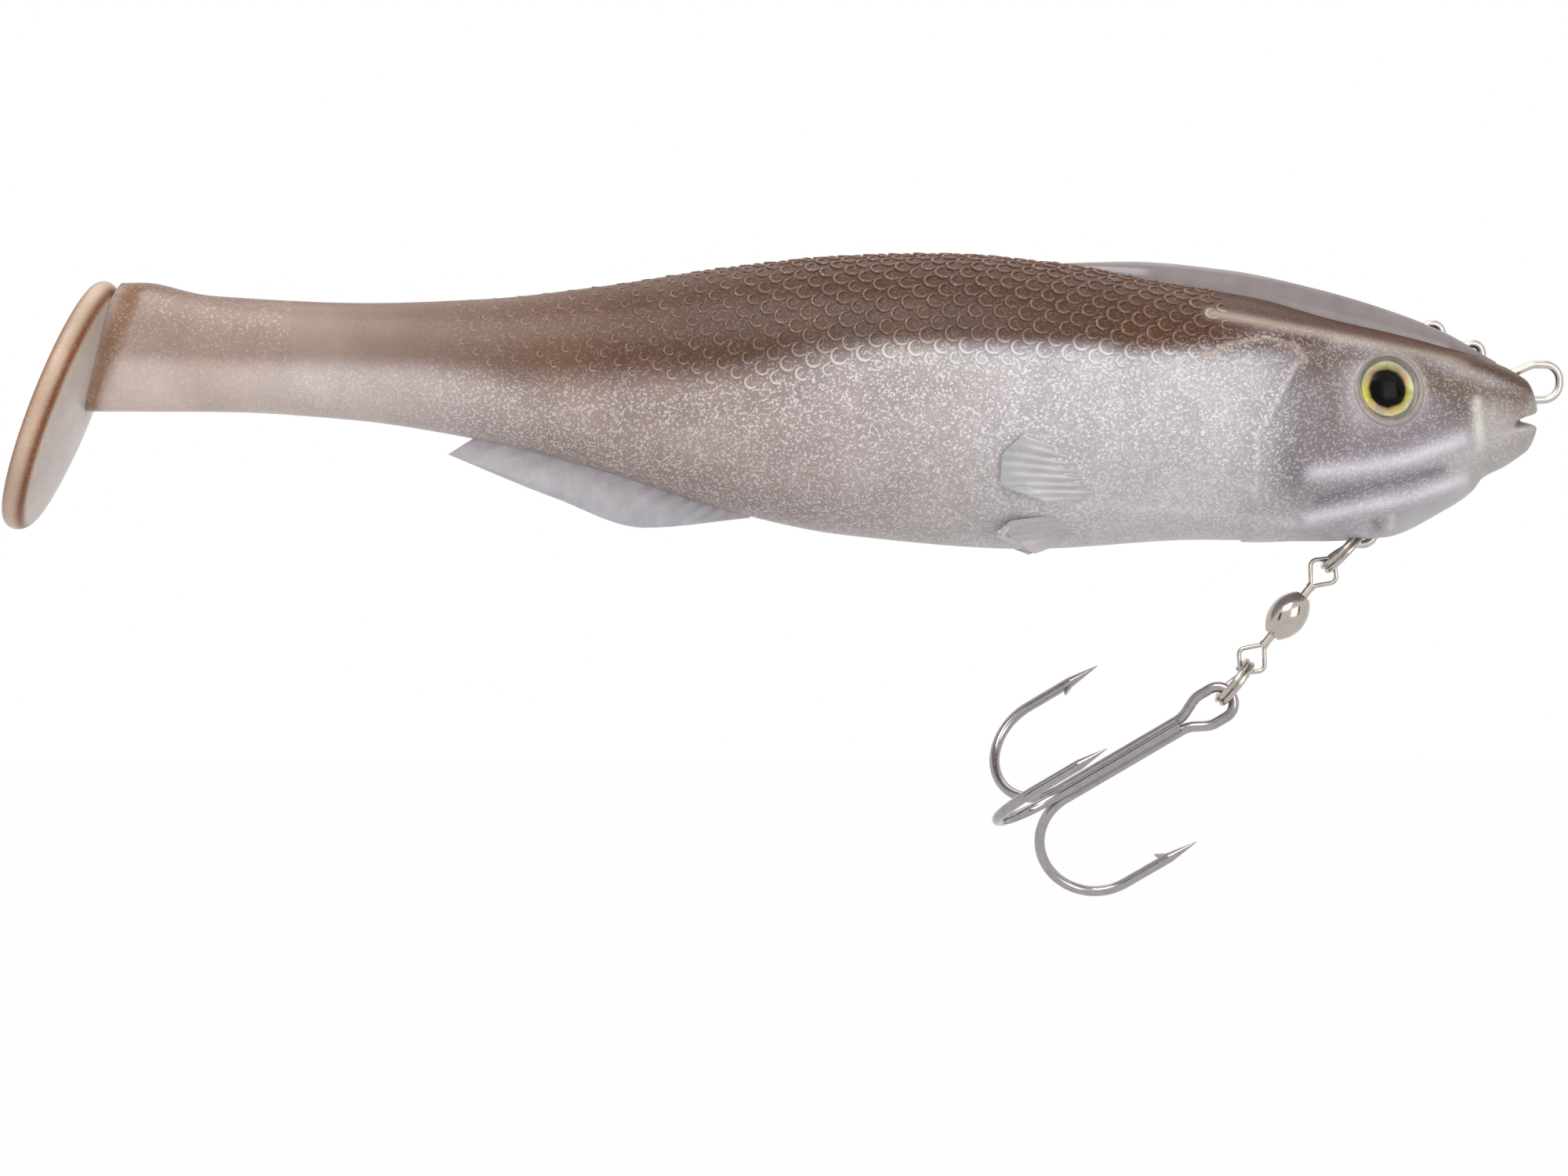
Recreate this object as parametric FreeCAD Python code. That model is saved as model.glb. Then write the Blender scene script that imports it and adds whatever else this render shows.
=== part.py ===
"""Soft paddle-tail swimbait on a wire harness, with a treble hook hung from a barrel swivel.

Millimetres. +X points to the nose, +Z up and +Y to the fish's left. The origin is the centre of
the hole in the line eye at the nose. One STEP file is written for each separate piece.
"""
import FreeCAD, Part
import math
import os

Vec = FreeCAD.Vector

# ---------------------------------------------------------------- driving dimensions
body_length = 203.0          # nose tip to the tail's rearmost point
nose_x = -0.7                # upper lip, just behind the line eye's centre
widest_half = 15.0           # half the body's greatest width
section_power = 2.25         # 2 is an ellipse, more is boxier
moving_gap = 0.35            # between solids on different bodies
lengthwise = body_length / 203.0     # what lies along the body moves with its length
widthwise = widest_half / 15.0       # and what grows from the flank with its width

mouth_z = -5.5
mouth_depth = 2.6
mouth_height = 1.1

stalk_hinge_x = -146.0 * lengthwise      # where the body gives way to the limber stalk
stalk_knuckle_radius = 6.4 * widthwise
paddle_hinge_x = -184.0 * lengthwise     # thin wrist in front of the paddle
paddle_knuckle_radius = 3.6 * widthwise

paddle_height = 35.0
paddle_width = 28.0
paddle_thickness = 3.1
paddle_lean_deg = 21.3       # the top leans towards the body
paddle_top_z = 13.2
wrist_end_gap = 15.225       # from the wrist's last section to the paddle's rearmost point

ridge_height = 2.7           # pair of soft lips along the back
ridge_half_width = 3.0
ridge_groove_width = 1.6
ridge_front_x = -17.5
ridge_rear_x = -62.0 * lengthwise

anal_fin_thickness = 1.2
pectoral_thickness = 1.1
pelvic_thickness = 1.1

eye_x = -21.8
eye_z = -1.3
eye_radius = 4.15
eye_dome_height = 1.5
eye_seat_depth = 1.4
foil_radius = 3.45
foil_thickness = 0.3
eye_forward = 0.26           # share of the eye's axis that points to the nose
eye_upward = 0.14

harness_wire_radius = 0.55
line_eye_hole_radius = 1.75
back_eye_hole_radius = 0.8
belly_eye_hole_radius = 1.25
eye_leg_gap = 0.15           # between the two legs of a bent eye
front_back_eye = (-9.3, 3.7)
rear_back_eye = (-14.6, 6.3)
belly_eye = (-23.9, -19.7)

weight_front_x = -33.0
weight_rear_x = -62.0
weight_half_width = 6.0
weight_half_height = 4.2
weight_z = -15.2

ring_outer_radius = 3.6
ring_wire_radius = 0.375
ring_bends = 8               # tangent arcs in each turn of the coil
ring_coil_gap = 0.03
link_play = 0.45             # how far a ring hangs below the centre of the eye it is in

swivel_wire_radius = 0.3
swivel_eye_side = 3.2        # of the square that the eye is bent to
swivel_eye_pitch = 15.1      # between the centres of its two eyes
barrel_length = 6.6
barrel_radius = 2.5
barrel_end_wall = 0.45       # round the hole at each end
barrel_cavity_radius = 1.3
barrel_cavity_length = 4.6
swivel_neck_radius = 0.55
swivel_head_radius = 1.2
swivel_head_length = 1.1
spin_clearance = 0.07

hook_wire_radius = 0.7
hook_eye_half_width = 2.15   # to the wire's centre
hook_eye_length = 7.2        # from the eye's outer end to where the shanks meet
hook_length = 34.5           # from the eye's outer end to the bottom of the bends
hook_gap = 15.0              # between shank and point
hook_point_back = 19.4       # how far the point stands back from the bottom of the bend
point_length = 4.2
barb_length = 2.1
barb_height = 0.75
barb_set_back = 3.6
braze_radius = 1.0
braze_gap = 0.02             # between shanks lying side by side

# angles of the hanging links, below horizontal, towards the tail
upper_ring_deg = 46.5
swivel_deg = 51.0
lower_ring_deg = 52.6
treble_deg = 31.5
treble_yaw_deg = 13.4
treble_roll_deg = -12.6

# (share of body_length behind the nose, top, bottom, half width as a share of widest_half)
body_stations = [
    (0.000, -0.9, -8.4, 0.16),
    (0.021, 2.2, -11.0, 0.33),
    (0.042, 4.6, -14.1, 0.48),
    (0.082, 6.5, -19.4, 0.67),
    (0.123, 8.4, -20.9, 0.80),
    (0.185, 11.3, -21.0, 0.92),
    (0.246, 14.2, -21.2, 0.985),
    (0.330, 16.4, -22.1, 1.00),
    (0.412, 16.8, -21.4, 0.94),
    (0.492, 15.9, -19.0, 0.82),
    (0.575, 13.7, -14.1, 0.66),
    (0.655, 11.5, -9.4, 0.51),
    (0.720, 10.5, -6.4, 0.41),
    (0.777, 10.4, -5.0, 0.33),
    (0.840, 10.9, -4.2, 0.27),
    (0.905, 12.4, -3.9, 0.225),
    (1 - wrist_end_gap / body_length, 12.9, -3.9, 0.215),
]


# ---------------------------------------------------------------- helpers
def section_wire(x, top, bottom, half_width):
    """A closed, rounded body section in the plane X = x."""
    middle = (top + bottom) / 2
    half_height = (top - bottom) / 2
    points = []
    for i in range(16):
        angle = 2 * math.pi * i / 16
        c = math.cos(angle)
        s = math.sin(angle)
        y = half_width * math.copysign(abs(c) ** (2 / section_power), c)
        z = middle + half_height * math.copysign(abs(s) ** (2 / section_power), s)
        points.append(Vec(x, y, z))
    curve = Part.BSplineCurve()
    curve.interpolate(points, PeriodicFlag=True)
    return Part.Wire([curve.toShape()])


def station_values(x):
    """Top, bottom and half width of the body at x, between its stations."""
    share = (nose_x - x) / body_length
    for front, rear in zip(body_stations, body_stations[1:]):
        if front[0] <= share <= rear[0]:
            part = (share - front[0]) / (rear[0] - front[0])
            return [a + (b - a) * part for a, b in zip(front[1:3] + (front[3] * widest_half,),
                                                       rear[1:3] + (rear[3] * widest_half,))]
    raise ValueError("x is outside the body")


def body_loft():
    """The whole fish without its fins, from the lips to the root of the paddle."""
    wires = []
    for share, top, bottom, width in body_stations:
        wires.append(section_wire(nose_x - share * body_length, top, bottom, width * widest_half))
    return Part.makeLoft(wires, True, False)


def bent_wire(points, bends, radius, closed_ends=True):
    """Round wire along straight runs joined by tangent arcs; bends holds one radius per corner."""
    edges = []
    start = points[0]
    for before, corner, after, bend in zip(points, points[1:], points[2:], bends):
        into = (corner - before).normalize()
        out = (after - corner).normalize()
        turn = into.getAngle(out)
        reach = bend * math.tan(turn / 2)
        first = corner - into * reach
        last = corner + out * reach
        inward = (out - into).normalize()
        middle = corner + inward * (bend / math.cos(turn / 2) - bend)
        edges.append(Part.LineSegment(start, first).toShape())
        edges.append(Part.Arc(first, middle, last).toShape())
        start = last
    edges.append(Part.LineSegment(start, points[-1]).toShape())
    path = Part.Wire(edges)
    heading = (points[1] - points[0]).normalize()
    profile = Part.Wire([Part.Circle(points[0], heading, radius).toShape()])
    return path.makePipeShell([profile], closed_ends, False)


def extruded(points, y_from, y_to):
    """A flat plate from an XZ outline of straight edges."""
    outline = [Vec(x, y_from, z) for x, z in points]
    face = Part.Face(Part.makePolygon(outline + outline[:1]))
    return face.extrude(Vec(0, y_to - y_from, 0))


def frame_at(origin, along, across):
    """Placement whose local X runs along and whose local Y leans to across."""
    third = along.cross(across).normalize()
    second = third.cross(along).normalize()
    matrix = FreeCAD.Matrix(along.x, second.x, third.x, origin.x,
                            along.y, second.y, third.y, origin.y,
                            along.z, second.z, third.z, origin.z,
                            0, 0, 0, 1)
    return FreeCAD.Placement(matrix)


def below_horizontal(degrees):
    """Unit vector towards the tail and down."""
    angle = math.radians(degrees)
    return Vec(-math.cos(angle), 0, -math.sin(angle))


def placed(shape, placement):
    """A copy of a shape built in a local frame, moved to its place."""
    moved = shape.copy()
    moved.Placement = placement.multiply(moved.Placement)
    return moved


def mirrored(shape):
    """The same piece on the fish's other side."""
    return shape.mirror(Vec(0, 0, 0), Vec(0, 1, 0))


def save(name, shape):
    """Write one node and report its size."""
    solids = shape.Solids
    result = solids[0] if len(solids) == 1 else Part.makeCompound(solids)
    result.exportStep(f"parts/{name}.step")
    box = result.BoundBox
    print(f"{name}: solids {len(solids)} valid {result.isValid()} volume {result.Volume:.2f} "
          f"x {box.XMin:.1f} {box.XMax:.1f} y {box.YMin:.1f} {box.YMax:.1f} z {box.ZMin:.1f} {box.ZMax:.1f}")


# ---------------------------------------------------------------- soft body
def tail_side(hinge_x, radius, gap):
    """Everything behind a hinge, with a rounded knuckle about the hinge's upright axis."""
    wide = 60
    low = station_values(hinge_x + radius)[1] - gap
    front = hinge_x + gap
    knuckle = Part.makeCylinder(radius + gap, wide, Vec(front, 0, low))
    behind = Part.makeBox(body_length, wide, wide, Vec(front - body_length, -wide / 2, low))
    return behind.fuse(knuckle)


def paddle_disc():
    """The oval paddle, leaning back from its top edge."""
    lean = math.radians(paddle_lean_deg)
    oval = FreeCAD.Matrix()
    oval.scale(paddle_height / 2, paddle_width / 2, 1)
    disc = Part.makeCylinder(1.0, paddle_thickness, Vec(0, 0, -paddle_thickness / 2)).transformGeometry(oval)
    disc.rotate(Vec(0, 0, 0), Vec(0, 1, 0), 90 + paddle_lean_deg)
    reach = paddle_height / 2 * math.sin(lean) + paddle_thickness / 2 * math.cos(lean)
    disc.translate(Vec(nose_x - body_length + reach, 0, paddle_top_z - paddle_height / 2 * math.cos(lean)))
    return disc


def mouth_cut():
    """The slit between the lips, open at the front."""
    back = nose_x - mouth_depth
    front = nose_x + 1
    return extruded([(back, mouth_z), (front, mouth_z + mouth_height), (front, mouth_z - mouth_height)],
                    -widest_half, widest_half)


def belly_pocket():
    """Recess in the belly in which the hanging ring swings."""
    half_width = ring_outer_radius + moving_gap
    front = belly_eye[0] + belly_eye_hole_radius + 2 * harness_wire_radius + 1.4
    rear = belly_eye[0] - belly_eye_hole_radius - 2 * harness_wire_radius - 2.5
    roof = belly_eye[1] + belly_eye_hole_radius + moving_gap
    floor = belly_eye[1] - 10
    return Part.makeBox(front - rear, 2 * half_width, roof - floor, Vec(rear, -half_width, floor))


def back_ridge():
    """Two soft lips along the back, with the groove between them open at the top."""
    count = 9
    upper = []
    lower = []
    for i in range(count):
        part = i / (count - 1)
        x = ridge_front_x + (ridge_rear_x - ridge_front_x) * part
        top = station_values(x)[0]
        rise = ridge_height * math.sin(math.pi * min(1.0, 0.25 + 0.75 * part) ** 1.1)
        upper.append(Vec(x, -ridge_half_width, top + max(rise, 0.0) - 0.1))
        lower.append(Vec(x, -ridge_half_width, top - ridge_height))
    top_curve = Part.BSplineCurve()
    top_curve.interpolate(upper)
    edges = [top_curve.toShape(),
             Part.LineSegment(upper[-1], lower[-1]).toShape()]
    for a, b in zip(lower[::-1], lower[-2::-1]):
        edges.append(Part.LineSegment(a, b).toShape())
    edges.append(Part.LineSegment(lower[0], upper[0]).toShape())
    lips = Part.Face(Part.Wire(edges)).extrude(Vec(0, 2 * ridge_half_width, 0))
    groove = Part.makeBox(ridge_front_x - ridge_rear_x, ridge_groove_width, 60,
                          Vec(ridge_rear_x, -ridge_groove_width / 2, 0))
    above_skin = groove.cut(body_loft())
    return lips.cut(above_skin)


def anal_fin():
    """Thin flap under the rear of the belly, trailing to a free tip."""
    outline = [(-104.5, -16.0), (-108.5, -18.4), (-114.5, -19.6), (-119.5, -19.3), (-136.0, -12.9),
               (-144.2, -9.6), (-139.6, -7.6), (-124.0, -10.5)]
    outline = [(x * lengthwise, z) for x, z in outline]
    half = anal_fin_thickness / 2
    return extruded(outline, -half, half)


def side_fin(outline, thickness, sweep_deg, root_y):
    """A fin moulded to the flank, leaning out towards its rear."""
    outline = [(x * lengthwise, z) for x, z in outline]
    plate = extruded(outline, -thickness / 2, thickness / 2)
    root = Vec(outline[0][0], 0, outline[0][1])
    plate.rotate(root, Vec(0, 0, 1), sweep_deg)
    plate.translate(Vec(0, root_y * widthwise, 0))
    return plate


def fins():
    """Pectoral and pelvic fins of the fish's left side; the right side mirrors them."""
    pectoral = side_fin([(-56.0, -15.4), (-56.0, -11.8), (-63.5, -10.2), (-72.0, -11.0),
                         (-72.4, -13.4), (-66.0, -15.8)], pectoral_thickness, -7.0, 13.6)
    pelvic = side_fin([(-61.0, -19.5), (-66.0, -17.5), (-72.5, -19.5), (-70.0, -21.8),
                       (-67.2, -22.9)], pelvic_thickness, -4.0, 5.0)
    return [pectoral, pelvic]


def eye_frame():
    """Local frame of the left eye: Z points outwards along the eye's axis from its seat."""
    top, bottom, half_width = station_values(eye_x)
    middle = (top + bottom) / 2
    height_share = abs(eye_z - middle) / ((top - bottom) / 2)
    skin_y = half_width * (1 - height_share ** section_power) ** (1 / section_power)
    outward = Vec(eye_forward, 1, eye_upward).normalize()
    seat = Vec(eye_x, skin_y, eye_z) - outward * eye_seat_depth
    return FreeCAD.Placement(seat, FreeCAD.Rotation(Vec(0, 0, 1), outward))


def eye_pieces():
    """Seat, clear lens and printed foil of one eye, in the eye's own frame."""
    seat = Part.makeCylinder(eye_radius, 12)
    rim = Part.makeCylinder(eye_radius, eye_seat_depth)
    bulge = (eye_radius ** 2 + eye_dome_height ** 2) / (2 * eye_dome_height)
    dome = Part.makeSphere(bulge, Vec(0, 0, eye_seat_depth + eye_dome_height - bulge))
    foil = Part.makeCylinder(foil_radius, foil_thickness)
    lens = rim.fuse(dome.common(Part.makeCylinder(eye_radius, 12, Vec(0, 0, eye_seat_depth))))
    return seat, lens.removeSplitter().cut(foil), foil


# ---------------------------------------------------------------- harness and weight
def upright_eye(centre, hole_radius, down):
    """Corners of a wire eye whose legs stand below it (down = -1) or above it (down = 1)."""
    loop = hole_radius + harness_wire_radius
    leg = harness_wire_radius + eye_leg_gap / 2
    x, z = centre
    shoulder = z + down * (loop - leg + 0.45 * loop)
    waist = z + down * 0.45 * loop
    side = [(x - leg, shoulder), (x - loop, waist), (x - loop, z - down * loop)]
    return side + [(2 * x - a, b) for a, b in side[::-1]]


def eye_bends(hole_radius):
    """Bend radii at the six corners of an upright eye."""
    loop = hole_radius + harness_wire_radius
    leg = harness_wire_radius + eye_leg_gap / 2
    slope = (loop - leg) * math.sqrt(2)
    neck = min(0.48 * slope / math.tan(math.radians(22.5)), 1.15 * loop)
    crown = 0.97 * loop
    return [neck, neck, crown, crown, neck, neck]


def harness_route():
    """Corners and bend radii of the one wire: weight, belly eye, line eye, two back eyes."""
    loop = line_eye_hole_radius + harness_wire_radius
    belly_leg = harness_wire_radius + eye_leg_gap / 2
    corners = [(-56.0, -13.4), (belly_eye[0] - belly_leg, -13.4)]
    bends = [2.0]
    corners += upright_eye(belly_eye, belly_eye_hole_radius, 1)
    bends += eye_bends(belly_eye_hole_radius)
    corners += [(belly_eye[0] + belly_leg, -11.5), (-12.0, -5.2), (-3.0, -loop - 0.2)]
    bends += [2.0, 4.0, 3.0]
    corners += [(loop * 0.98, -loop), (loop, loop * 0.98), (-1.2, loop)]
    bends += [0.96 * loop, 0.9 * loop, 1.2]
    corners += [(-4.6, 0.9)]
    bends += [1.2]
    for eye in (front_back_eye, rear_back_eye):
        corners += [(eye[0] + belly_leg, eye[1] - 2.9)]
        bends += [0.7]
        eye_corners = upright_eye(eye, back_eye_hole_radius, -1)[::-1]
        corners += eye_corners
        bends += eye_bends(back_eye_hole_radius)
        corners += [(eye[0] - belly_leg, eye[1] - 2.9)]
        bends += [0.7]
    corners += [(-30.0, 2.0), (-41.0, -13.0)]
    bends += [6.0]
    return [Vec(x, 0, z) for x, z in corners], bends


def harness_wire():
    """The stainless wire that carries the pull of line and hook."""
    points, bends = harness_route()
    return bent_wire(points, bends, harness_wire_radius)


def keel_weight():
    """Cast weight low in the belly, tapered at both ends."""
    count = 5
    wires = []
    for i in range(count):
        part = i / (count - 1)
        x = weight_front_x + (weight_rear_x - weight_front_x) * part
        swell = 0.42 + 0.58 * math.sin(math.pi * part) ** 0.8
        half_height = weight_half_height * swell
        wires.append(section_wire(x, weight_z + half_height, weight_z - half_height,
                                  weight_half_width * swell))
    return Part.makeLoft(wires, True, False)


# ---------------------------------------------------------------- rings and swivel
def split_ring():
    """Flat coil of nearly two turns about the local Z axis; it steps up and ends on the +Y side."""
    coil_radius = ring_outer_radius - ring_wire_radius
    half_pitch = ring_wire_radius + ring_coil_gap / 2
    step = 2 * math.pi / ring_bends
    corner_radius = coil_radius / math.cos(step / 2)
    corners = []
    for i in range(2 * ring_bends):
        angle = math.pi / 2 + (i + 0.5) * step
        level = -half_pitch if i < ring_bends else half_pitch
        corners.append(Vec(corner_radius * math.cos(angle), corner_radius * math.sin(angle), level))
    first = corners[0] + (corners[1] - corners[0]) * 0.25
    last = corners[-1] + (corners[-2] - corners[-1]) * 0.25
    points = [first] + corners[1:-1] + [last]
    return bent_wire(points, [0.97 * coil_radius] * (len(points) - 2), ring_wire_radius)


def swivel_eye():
    """One eye: a diamond loop in local XY about the origin, its neck and head along +X."""
    half_diagonal = swivel_eye_side / math.sqrt(2)
    neck_x = half_diagonal
    split = swivel_wire_radius + 0.02
    points = [Vec(neck_x + 0.6, split, 0), Vec(neck_x, split, 0), Vec(0, half_diagonal, 0),
              Vec(-half_diagonal, 0, 0), Vec(0, -half_diagonal, 0), Vec(neck_x, -split, 0),
              Vec(neck_x + 0.6, -split, 0)]
    loop = bent_wire(points, [0.45, 0.9, 1.2, 0.9, 0.45], swivel_wire_radius)
    head_back = swivel_eye_pitch / 2 - barrel_cavity_length / 2 + spin_clearance
    neck = Part.makeCylinder(swivel_neck_radius, head_back + swivel_head_length - neck_x,
                             Vec(neck_x, 0, 0), Vec(1, 0, 0))
    head = Part.makeCylinder(swivel_head_radius, swivel_head_length, Vec(head_back, 0, 0), Vec(1, 0, 0))
    return loop.fuse([neck, head]).removeSplitter()


def swivel_barrel():
    """Hollow barrel about local X, centred on the origin, with a hole for each neck."""
    half = barrel_length / 2
    end_radius = swivel_neck_radius + spin_clearance + barrel_end_wall
    crown = Part.Arc(Vec(-half, end_radius, 0), Vec(0, barrel_radius, 0), Vec(half, end_radius, 0))
    axis_ends = [Vec(half, end_radius, 0), Vec(half, 0, 0), Vec(-half, 0, 0), Vec(-half, end_radius, 0)]
    profile = Part.Wire([crown.toShape()] + Part.makePolygon(axis_ends).Edges)
    shell = Part.Face(profile).revolve(Vec(0, 0, 0), Vec(1, 0, 0), 360)
    cavity = Part.makeCylinder(barrel_cavity_radius, barrel_cavity_length,
                               Vec(-barrel_cavity_length / 2, 0, 0), Vec(1, 0, 0))
    bore = Part.makeCylinder(swivel_neck_radius + spin_clearance, barrel_length + 2,
                             Vec(-barrel_length / 2 - 1, 0, 0), Vec(1, 0, 0))
    return shell.cut(cavity.fuse(bore))


# ---------------------------------------------------------------- treble hook
def shank_offset():
    """Distance of each shank's centre from the treble's axis, with the shanks side by side."""
    return (2 * hook_wire_radius + braze_gap) / math.sqrt(3)


def at_angle(along, distance, angle_deg):
    """A point of the treble's frame: X along the shank, angle from local Y towards local Z."""
    angle = math.radians(angle_deg)
    return Vec(along, distance * math.cos(angle), distance * math.sin(angle))


def arm_corners(angle_deg):
    """Corners of one hook from the end of its point leg, round the bend, to its shank."""
    near = shank_offset()
    far = near + hook_gap
    bottom = hook_length - hook_wire_radius
    leg_end = hook_length - hook_point_back + point_length
    return [at_angle(leg_end, far, angle_deg), at_angle(bottom, far, angle_deg),
            at_angle(bottom, near, angle_deg)]


def point_and_barb(angle_deg):
    """The tapered point of a hook with the barb cut up on its inner side."""
    far = shank_offset() + hook_gap
    tip = hook_length - hook_point_back
    base = at_angle(tip + point_length, far, angle_deg)
    cone = Part.makeCone(hook_wire_radius, 0.06, point_length, base, Vec(-1, 0, 0))
    inner = far - hook_wire_radius
    start = tip + barb_set_back
    outline = [at_angle(start - barb_length * 0.2, far, angle_deg),
               at_angle(start + barb_length, inner - barb_height, angle_deg),
               at_angle(start + barb_length * 0.75, far, angle_deg)]
    sideways = at_angle(0, 0.25, angle_deg + 90)
    outline = [p - sideways for p in outline]
    barb = Part.Face(Part.makePolygon(outline + outline[:1])).extrude(sideways * 2)
    return cone.fuse(barb)


def double_hook():
    """Two hooks bent from one wire, whose middle forms the eye."""
    near = shank_offset()
    upper = arm_corners(30)
    lower = arm_corners(150)
    side_z = near * math.sin(math.radians(30))
    neck_y = near * math.cos(math.radians(30))
    wide = hook_eye_half_width
    eye = [Vec(hook_eye_length, neck_y, side_z), Vec(wide + 2.2, wide, side_z), Vec(0, wide, side_z)]
    points = upper + eye + [Vec(p.x, -p.y, p.z) for p in eye[::-1]] + lower[::-1]
    bend = 0.497 * hook_gap
    crown = 0.96 * wide
    bends = [bend, bend, 4.0, 3.0, crown, crown, 3.0, 4.0, bend, bend]
    wire = bent_wire(points, bends, hook_wire_radius)
    return wire.fuse([point_and_barb(30), point_and_barb(150)])


def single_hook():
    """The third hook, laid in the groove between the other two shanks."""
    corners = arm_corners(270)
    start = at_angle(hook_eye_length + 0.6, shank_offset(), 270)
    bend = 0.497 * hook_gap
    wire = bent_wire(corners + [start], [bend, bend], hook_wire_radius)
    return wire.fuse(point_and_barb(270))


def braze(double, single):
    """Braze metal in the grooves between the three shanks."""
    length = hook_length - hook_eye_length - hook_gap / 2 - 2.5
    core = Part.makeCylinder(braze_radius, length, Vec(hook_eye_length + 1.0, 0, 0), Vec(1, 0, 0))
    return core.cut(double).cut(single)


# ---------------------------------------------------------------- assembly
def hanging_frames():
    """Local frames of the hanging links, each laid out from the one that carries it."""
    side = Vec(0, 1, 0)
    coil_radius = ring_outer_radius - ring_wire_radius
    first = below_horizontal(upper_ring_deg)
    spin = below_horizontal(swivel_deg)
    last = below_horizontal(lower_ring_deg)
    hang = Vec(belly_eye[0], 0, belly_eye[1])
    upper_ring = hang + first * (link_play + coil_radius)
    upper_eye = upper_ring + first * coil_radius + spin * link_play
    lower_eye = upper_eye + spin * swivel_eye_pitch
    lower_ring = lower_eye + last * (link_play + coil_radius)
    yaw = math.radians(treble_yaw_deg)
    shank = below_horizontal(treble_deg) * math.cos(yaw) + side * math.sin(yaw)
    treble_eye = lower_ring + last * coil_radius + shank * link_play
    roll = FreeCAD.Rotation(shank, -treble_roll_deg)
    upwards = roll.multVec(side.cross(shank))
    treble_origin = treble_eye - shank * hook_eye_half_width
    return {
        "upper_ring": frame_at(upper_ring, first, side),
        "upper_eye": frame_at(upper_eye, spin, side.cross(spin)),
        "barrel": frame_at(upper_eye + spin * (swivel_eye_pitch / 2), spin, side.cross(spin)),
        "lower_eye": frame_at(lower_eye, spin * -1, side.cross(spin)),
        "lower_ring": frame_at(lower_ring, last, side),
        "treble": frame_at(treble_origin, shank, upwards),
    }


def build():
    """Make and save every piece."""
    frames = hanging_frames()
    for name, frame in frames.items():
        origin = frame.Base
        ahead = frame.Rotation.multVec(Vec(1, 0, 0))
        normal = frame.Rotation.multVec(Vec(0, 0, 1))
        print(f"{name} at {origin.x:.3f} {origin.y:.3f} {origin.z:.3f} along {ahead.x:.4f} "
              f"{ahead.y:.4f} {ahead.z:.4f} normal {normal.x:.4f} {normal.y:.4f} {normal.z:.4f}")

    wire = harness_wire()
    weight = keel_weight()
    seat, lens, foil = eye_pieces()
    left_eye = eye_frame()
    seats = [placed(seat, left_eye)]
    seats.append(mirrored(seats[0]))

    loft = body_loft()
    stalk_zone = tail_side(stalk_hinge_x, stalk_knuckle_radius, 0)
    stalk_room = tail_side(stalk_hinge_x, stalk_knuckle_radius, moving_gap)
    paddle_zone = tail_side(paddle_hinge_x, paddle_knuckle_radius, 0)
    paddle_room = tail_side(paddle_hinge_x, paddle_knuckle_radius, moving_gap)

    left_fins = fins()
    grown = [back_ridge(), anal_fin()] + left_fins + [mirrored(fin) for fin in left_fins]
    torso = loft.fuse(grown).cut(stalk_room)
    torso = torso.cut([mouth_cut(), belly_pocket(), weight, wire] + seats)
    save("torso", torso)
    save("tail_stalk", loft.common(stalk_zone).cut(paddle_room))

    save("tail_paddle", loft.common(paddle_zone).fuse(paddle_disc()))

    save("harness_wire", wire)
    save("keel_weight", weight.cut(wire))
    for name, piece in (("eye_lens", lens), ("eye_foil", foil)):
        left = placed(piece, left_eye)
        save(f"left_{name}", left)
        save(f"right_{name}", mirrored(left))

    ring = split_ring()
    save("upper_split_ring", placed(ring, frames["upper_ring"]))
    save("lower_split_ring", placed(ring, frames["lower_ring"]))
    save("swivel_upper_eye", placed(swivel_eye(), frames["upper_eye"]))
    save("swivel_lower_eye", placed(swivel_eye(), frames["lower_eye"]))
    save("swivel_barrel", placed(swivel_barrel(), frames["barrel"]))

    double = double_hook()
    single = single_hook()
    save("treble_double_hook", placed(double, frames["treble"]))
    save("treble_single_hook", placed(single, frames["treble"]))
    save("treble_braze", placed(braze(double, single), frames["treble"]))


os.makedirs("parts", exist_ok=True)
build()
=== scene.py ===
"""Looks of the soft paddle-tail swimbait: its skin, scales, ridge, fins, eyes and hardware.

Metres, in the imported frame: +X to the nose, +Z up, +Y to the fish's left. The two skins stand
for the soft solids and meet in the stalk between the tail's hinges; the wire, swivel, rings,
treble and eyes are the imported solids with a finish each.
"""
import logging
import math
from dataclasses import dataclass, field
from enum import Enum

import bpy
import numpy as np
from mathutils import Euler, Matrix, Vector


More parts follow.
